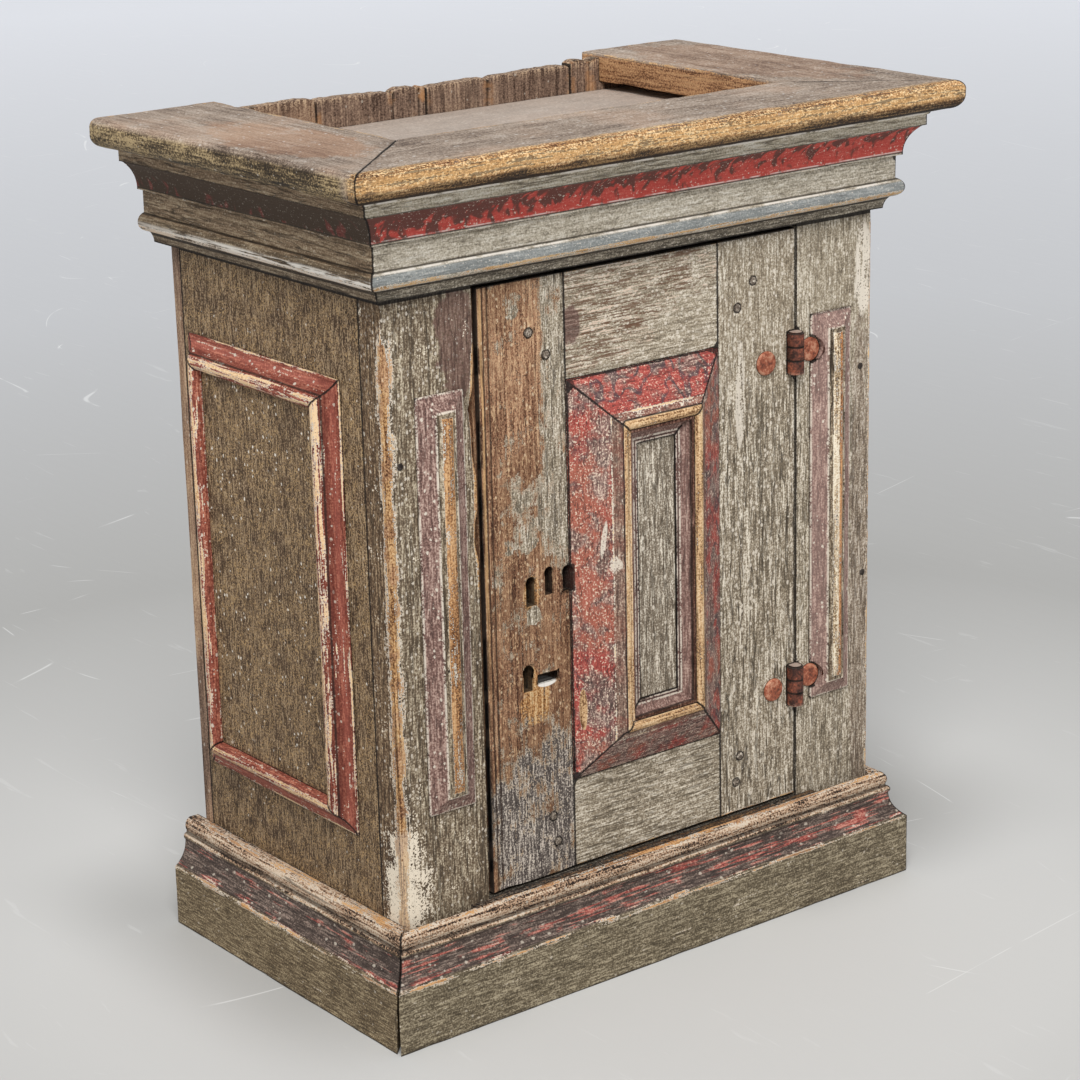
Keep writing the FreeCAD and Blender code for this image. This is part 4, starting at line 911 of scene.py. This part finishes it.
def rusted_iron(name, rust, pale):
    """Forged iron with a share of red-brown rust, dark pits and rubbed spots; pale rust is more orange."""
    look = Finish(name)
    broad = look.speckle(look.place, 90.0, 4.0, 0.6)
    pits = look.speckle(look.place, 420.0, 3.0, 0.65)
    tone = broad + pits.swing(0.8) + (pale - 0.5) * 0.4
    colour = look.ramp(tone, (0.25, rgb(54, 33, 27)), (0.45, rgb(106, 61, 47)), (0.62, rgb(158, 88, 63)),
                       (0.80, rgb(196, 142, 114)))
    shine = look.stored("arris").fade(3 * MM) * pits.rise(0.4, 0.6)
    colour = colour.coat(shine * 0.5, rgb(176, 142, 122))
    dark = look.ramp(broad + (pits - 0.5), (0.3, rgb(46, 42, 39)), (0.6, rgb(104, 96, 88)),
                     (0.75, rgb(196, 190, 182)))
    colour = look.mix(rust, dark, colour)
    # painted highlight on the upward faces of the hinge pins and leaves
    colour = colour.coat(look.stored("unpainted") * 0.75, rgb(190, 170, 156))
    ring = look.stored("joint").fall(0.5 * MM, 1.3 * MM)
    colour = colour.coat(ring * 0.85, SOOT_AND_SHADOW)
    return look.close(colour, 0.62 + broad.swing(0.4), pits * 0.8 + broad * 0.6, 0.6, 0.6 * MM)


OLIVE_BOARDS = olive_boards()
LEFT_STILE = left_stile_paint()
RIGHT_STILE = grey_boards("right_stile_paint", GREY, flecks=0.2,
                          places=[("plum", (0.273, 0.33), (0.014, 0.30), 0.35),
                                  ("chalk", (0.275, 0.622), (0.011, 0.05), 1.0)])
HINGE_STILE = grey_boards("hinge_stile_paint", (GREY[0], (170, 154, 130), GREY[2]), lines=1.2,
                          places=[("chalk", (0.118, 0.525), (0.006, 0.05), 0.8)])
TOP_RAIL = grey_boards("top_rail_paint", GREY, flecks=0.35,
                       places=[("dashes", (-0.02, 0.650), (0.11, 0.040), 0.30),
                               ("dashes", (-0.06, 0.610), (0.07, 0.030), 0.22),
                               ("plum", (-0.082, 0.625), (0.012, 0.02), 0.9)])
BOTTOM_RAIL = grey_boards("bottom_rail_paint", GREY)
FIELD = grey_boards("door_field_paint", (GREY[0], (156, 141, 121), GREY[2]), lines=0.9, flecks=0.15)
FRAME = grey_boards("frame_paint", GREY)
LOCK_WOOD = lock_stile_wood()
BORDER = {"top": border_paint("border_top_paint", 0.9, 0.65, 0.14, 0.36),
          "left": border_paint("border_left_paint", 0.6, 0.85, 0.25, 0.20),
          "right": border_paint("border_right_paint", 0.9, 0.65, 0.24, 0.10),
          "bottom": border_paint("border_bottom_paint", 0.6, 0.7, 0.34, 0.25)}
INNER_BEAD = inner_bead_paint()
SIDE_MOULDING = side_moulding_paint()
STRIP = strip_paint()
CORNICE = cornice_paint()
PLINTH = plinth_paint()
TOP_WOOD = top_wood()
BACK_WOOD = back_wood()
PEG_WOOD = grey_boards("peg_wood", ((60, 50, 42), (122, 108, 94), (200, 188, 172)), corner=0.3,
                       dirt=0.8 * MM)
HINGE_IRON = rusted_iron("hinge_iron", 1.0, 0.18)
ROSETTE_IRON = rusted_iron("rosette_iron", 1.0, 0.85)
NAIL_IRON = rusted_iron("nail_iron", 0.15, 0.5)


# Carcass

def out_of_square(place, normal):
    """The left mouldings and top board stand further out towards the wall: the cabinet is out of square."""
    reach = min(1.0, max(0.0, (LEFT - place.x) / FLARE_WIDTH))
    run = min(1.0, max(0.0, (place.y - FRONT) / (WALL - FRONT)))
    return Vector((-FLARE * reach * run ** 1.5, 0, 0))


def broken_edge(place, normal):
    """Splinters missing from the inner front edge of the left stile."""
    inward = (INNER_EDGE - place.x) + (place.y - FRONT) * 0.5
    gone = sum(max(0.0, 1 - abs(place.z - height) / half) for height, half in SPLINTERS)
    if inward > SPLINTER or gone == 0.0:
        return Vector((0, 0, 0))
    ragged_depth = 3 * MM + 3 * MM * noise.noise(Vector((3.0, place.x * 90, place.z * 45)))
    depth = max(0.0, ragged_depth) * min(1.0, gone * 1.5) * (1 - inward / SPLINTER)
    return Vector((-1.0, 0.8, 0.0)) * depth


for side in ("left", "right"):
    skew = out_of_square if side == "left" else None
    worn("side_board_" + side, OLIVE_BOARDS, Z, inward=Vector((1 if side == "left" else -1, 0, 0)))
    worn("side_field_" + side, OLIVE_BOARDS, Z)
    worn("front_stile_" + side, LEFT_STILE if side == "left" else RIGHT_STILE, Z,
         shaping=broken_edge if side == "left" else None, inward=BACKWARD)
    worn("stile_strip_" + side, STRIP, Z, step=5 * MM, ease=0.6 * MM)
    worn("frieze_" + side, CORNICE, Y, shaping=skew)
    worn("crown_" + side, CORNICE, Y, shaping=skew)
    worn("plinth_" + side, PLINTH, Y)
    worn("top_board_" + side, TOP_WOOD, Y, dent=0.6 * MM, chip=1.8 * MM, shaping=skew)
    for place in ("front", "back"):
        worn("side_moulding_%s_%s" % (side, place), SIDE_MOULDING, Z, ease=0.5 * MM)
    for place in ("top", "bottom"):
        worn("side_moulding_%s_%s" % (side, place), SIDE_MOULDING, Y, ease=0.5 * MM)
worn("front_top_rail", FRAME, X, step=HIDDEN_GRID, inward=BACKWARD)
worn("front_bottom_rail", FRAME, X, step=HIDDEN_GRID, inward=BACKWARD)
worn("frieze_front", CORNICE, X)
worn("crown_front", CORNICE, X)
worn("plinth_front", PLINTH, X)
worn("door_sill", PLINTH, X)
worn("top_board_front", TOP_WOOD, X, dent=0.6 * MM, chip=2.2 * MM)
worn("ceiling_board", TOP_WOOD, X)
worn("floor_board", BACK_WOOD, X, step=HIDDEN_GRID)
worn("shelf", BACK_WOOD, X, step=HIDDEN_GRID)
worn("shelf_cleats", BACK_WOOD, Y, step=HIDDEN_GRID)


def ragged_top(place, normal):
    """Worn top edge of the back boards: each split length a little lower, its corners rubbed away."""
    depth = TOP - place.z
    ends = [place.x - split for split in SPLITS]
    near = min(abs(end) for end in ends)
    length = sum(end > 0 for end in ends)
    drop = random.Random(length).uniform(0.5, 4.5) * MM + 4 * MM * math.exp(-near / (3.5 * MM))
    drop += abs(noise.noise(Vector((place.x * 70, 3.0, 0.0)))) * 2 * MM
    move = Vector((0, 0, -drop * max(0.0, 1 - depth / FRAYED)))
    if near < 1.2 * MM and normal.y < -0.5:
        move.y += 2.5 * MM
    return move


for number in range(1, 5):
    worn("back_board_%d" % number, BACK_WOOD, Z, step=(GRID * 0.6, 0.1, 0.06), dent=0.3 * MM,
         shaping=ragged_top, marks=[(Z, TOP - depth * MM) for depth in (3, 7, 12, 18, 26)]
         + [(X, split + side * MM) for split in SPLITS for side in (-1.5, -0.8, 0.8, 1.5)])


# Door

def grooved(place, normal):
    """Two fine grooves down the door's meeting edge."""
    near = min(abs(place.x - groove) for groove in GROOVES)
    return Vector((0, 1.3 * MM if near < 0.2 * MM and normal.y < -0.5 else 0, 0))


worn("door_lock_stile", LOCK_WOOD, Z, ease=1.6 * MM, dent=0.5 * MM, chip=1.4 * MM, inward=BACKWARD,
     shaping=grooved, marks=[(X, groove + side * MM) for groove in GROOVES for side in (-0.9, 0.0, 0.9)])
worn("door_hinge_stile", HINGE_STILE, Z, inward=BACKWARD)
worn("door_top_rail", TOP_RAIL, X, inward=BACKWARD)
worn("door_bottom_rail", BOTTOM_RAIL, X, inward=BACKWARD)
worn("door_field", FIELD, Z, step=8 * MM, inward=BACKWARD)
for side in ("left", "right"):
    worn("door_border_" + side, BORDER[side], Z, ease=0.5 * MM, inward=BACKWARD)
for side in ("top", "bottom"):
    worn("door_border_" + side, BORDER[side], X, ease=0.5 * MM, inward=BACKWARD)
worn("door_inner_bead", INNER_BEAD, Z, ease=0.4 * MM, inward=BACKWARD)
worn("door_pegs", PEG_WOOD, Y, step=HIDDEN_GRID, ease=0.4 * MM, dent=0.1 * MM, inward=BACKWARD)

# Iron

PIN_AXIS = (boxes["hinge_pins"][0] + boxes["hinge_pins"][1]) / 2
SHANK_REACH = 4 * MM
SLIMMER = 0.17


def slim_shank(place, normal):
    """The pins are a little thinner inside the knuckles, so that the door turns freely."""
    out = Vector((place.x - PIN_AXIS.x, place.y - PIN_AXIS.y, 0))
    return out * -SLIMMER if out.length < SHANK_REACH else Vector((0, 0, 0))


for node in frame["nodes"]:
    if node.startswith(("hinge_", "lock_")):
        worn(node, ROSETTE_IRON if "nails" in node else HINGE_IRON, Z,
             step=HIDDEN_GRID if "lock" in node else 4 * MM, ease=0.5 * MM, seam_ease=0.5 * MM,
             dent=0.2 * MM, chip=0.4 * MM,
             # the upward faces of pins and leaves are marked for a painted highlight
             inward=Vector((0, 0, 1)) if node == "hinge_pins" or "leaf" in node else None,
             shaping=slim_shank if node == "hinge_pins" else None)

FACE_NAILS = ((-269.4, 531.4), (271.8, 527.1), (276.9, 318.2))  # x and z in millimetres
heads = bmesh.new()
for across, up in FACE_NAILS:
    made = bmesh.ops.create_uvsphere(heads, u_segments=14, v_segments=8, radius=3.4 * MM)
    bmesh.ops.scale(heads, vec=(1.0, 0.35, 1.0), verts=made["verts"])
    bmesh.ops.translate(heads, vec=(across * MM, FRONT + 0.2 * MM, up * MM), verts=made["verts"])
    for vert in made["verts"]:
        vert.co += vert.normal * noise.noise(vert.co * 400) * 0.4 * MM
nails = finish_mesh(heads, "face_nails", body_of("front_stile_left"), NAIL_IRON)

# Floor, light and camera

disc = bmesh.new()
bmesh.ops.create_circle(disc, cap_ends=True, segments=96, radius=40.0)
floor_mesh = bpy.data.meshes.new("studio_floor")
disc.to_mesh(floor_mesh)
floor = put_in_scene("studio_floor", floor_mesh)


def floor_paint():
    """Pale grey studio floor, a little darker round the cabinet and paler far away, as painted light and
    shade; painted shadow lies beside the cabinet's sides.
    """
    look = Finish("floor_paint")
    x, y, _ = look.axes
    distance = look.node("ShaderNodeVectorMath", {"operation": "LENGTH"}, {0: look.place}, out="Value")
    # painted light and shade: darkest about a metre out, paler far away
    colour = look.ramp(distance / 10.0, (0.05, rgb(205, 204, 201)), (0.115, rgb(171, 170, 167)),
                       (0.28, rgb(192, 193, 195)), (0.72, rgb(219, 221, 226)))
    # painted shadow on the floor beside the cabinet's right and left sides
    shade = (x - 0.30).fall(0.0, 0.34) * x.rise(0.1, 0.2) * 0.9
    shade = shade.greater((-0.31 - x).fall(0.0, 0.14) * 0.4 * x.fall(-0.2, -0.1))
    colour = colour.coat(shade * y.band(-0.12, 0.34, 0.11), rgb(162, 161, 158), "MULTIPLY")
    scuff = look.speckle(look.stretched(look.place, (1.0, 0.12, 1.0)), 60.0, 3.0, 0.6, 0.6)
    colour = colour.coat(scuff.rise(0.66, 0.72) * 0.15, rgb(236, 236, 234))
    for stretch, scale in (((1.0, 0.35, 1.0), 2.3), ((0.3, 1.0, 1.0), 3.1)):
        scratch = look.speckle(look.stretched(look.place, stretch), scale, 0.0, 0.5, 0.4)
        broken = look.speckle(look.place, 7.0, 2.0).rise(0.55, 0.62)
        colour = colour.coat(scratch.veins(0.0004, 0.0016) * broken * 0.4, rgb(246, 246, 244))
    return look.close(colour, 0.55 + scuff.swing(0.2), scuff, 0.05, 0.2 * MM)


floor_mesh.materials.append(floor_paint())

sun = bpy.data.lights.new("soft_key", "SUN")
sun.energy = 2.9
sun.angle = math.radians(32)
sun_way = Vector((0.38, 0.52, -0.765))
put_in_scene("soft_key", sun).rotation_euler = sun_way.to_track_quat("-Z", "Y").to_euler()

world = bpy.data.worlds.new("studio_world")
bpy.context.scene.world = world
world.use_nodes = True
world.node_tree.nodes["Background"].inputs["Color"].default_value = (0.95, 0.97, 1.0, 1.0)
world.node_tree.nodes["Background"].inputs["Strength"].default_value = 0.43

camera_data = bpy.data.cameras.new("camera")
camera_data.lens = 99.79
camera_data.sensor_width = 36.0
camera_data.sensor_fit = "HORIZONTAL"
camera_data.clip_end = 200.0
camera = put_in_scene("camera", camera_data)
right_way = Vector((0.788067, -0.615138, -0.023574))
up_way = Vector((0.200984, 0.220910, 0.954361))
back_way = Vector((-0.581856, -0.756839, 0.297725))
eye = Vector((-1.6751, -2.16525, 1.2302))
camera.matrix_world = Matrix((*zip(right_way, up_way, back_way, eye), (0.0, 0.0, 0.0, 1.0)))
bpy.context.scene.camera = camera
bpy.context.scene.view_settings.view_transform = "Standard"
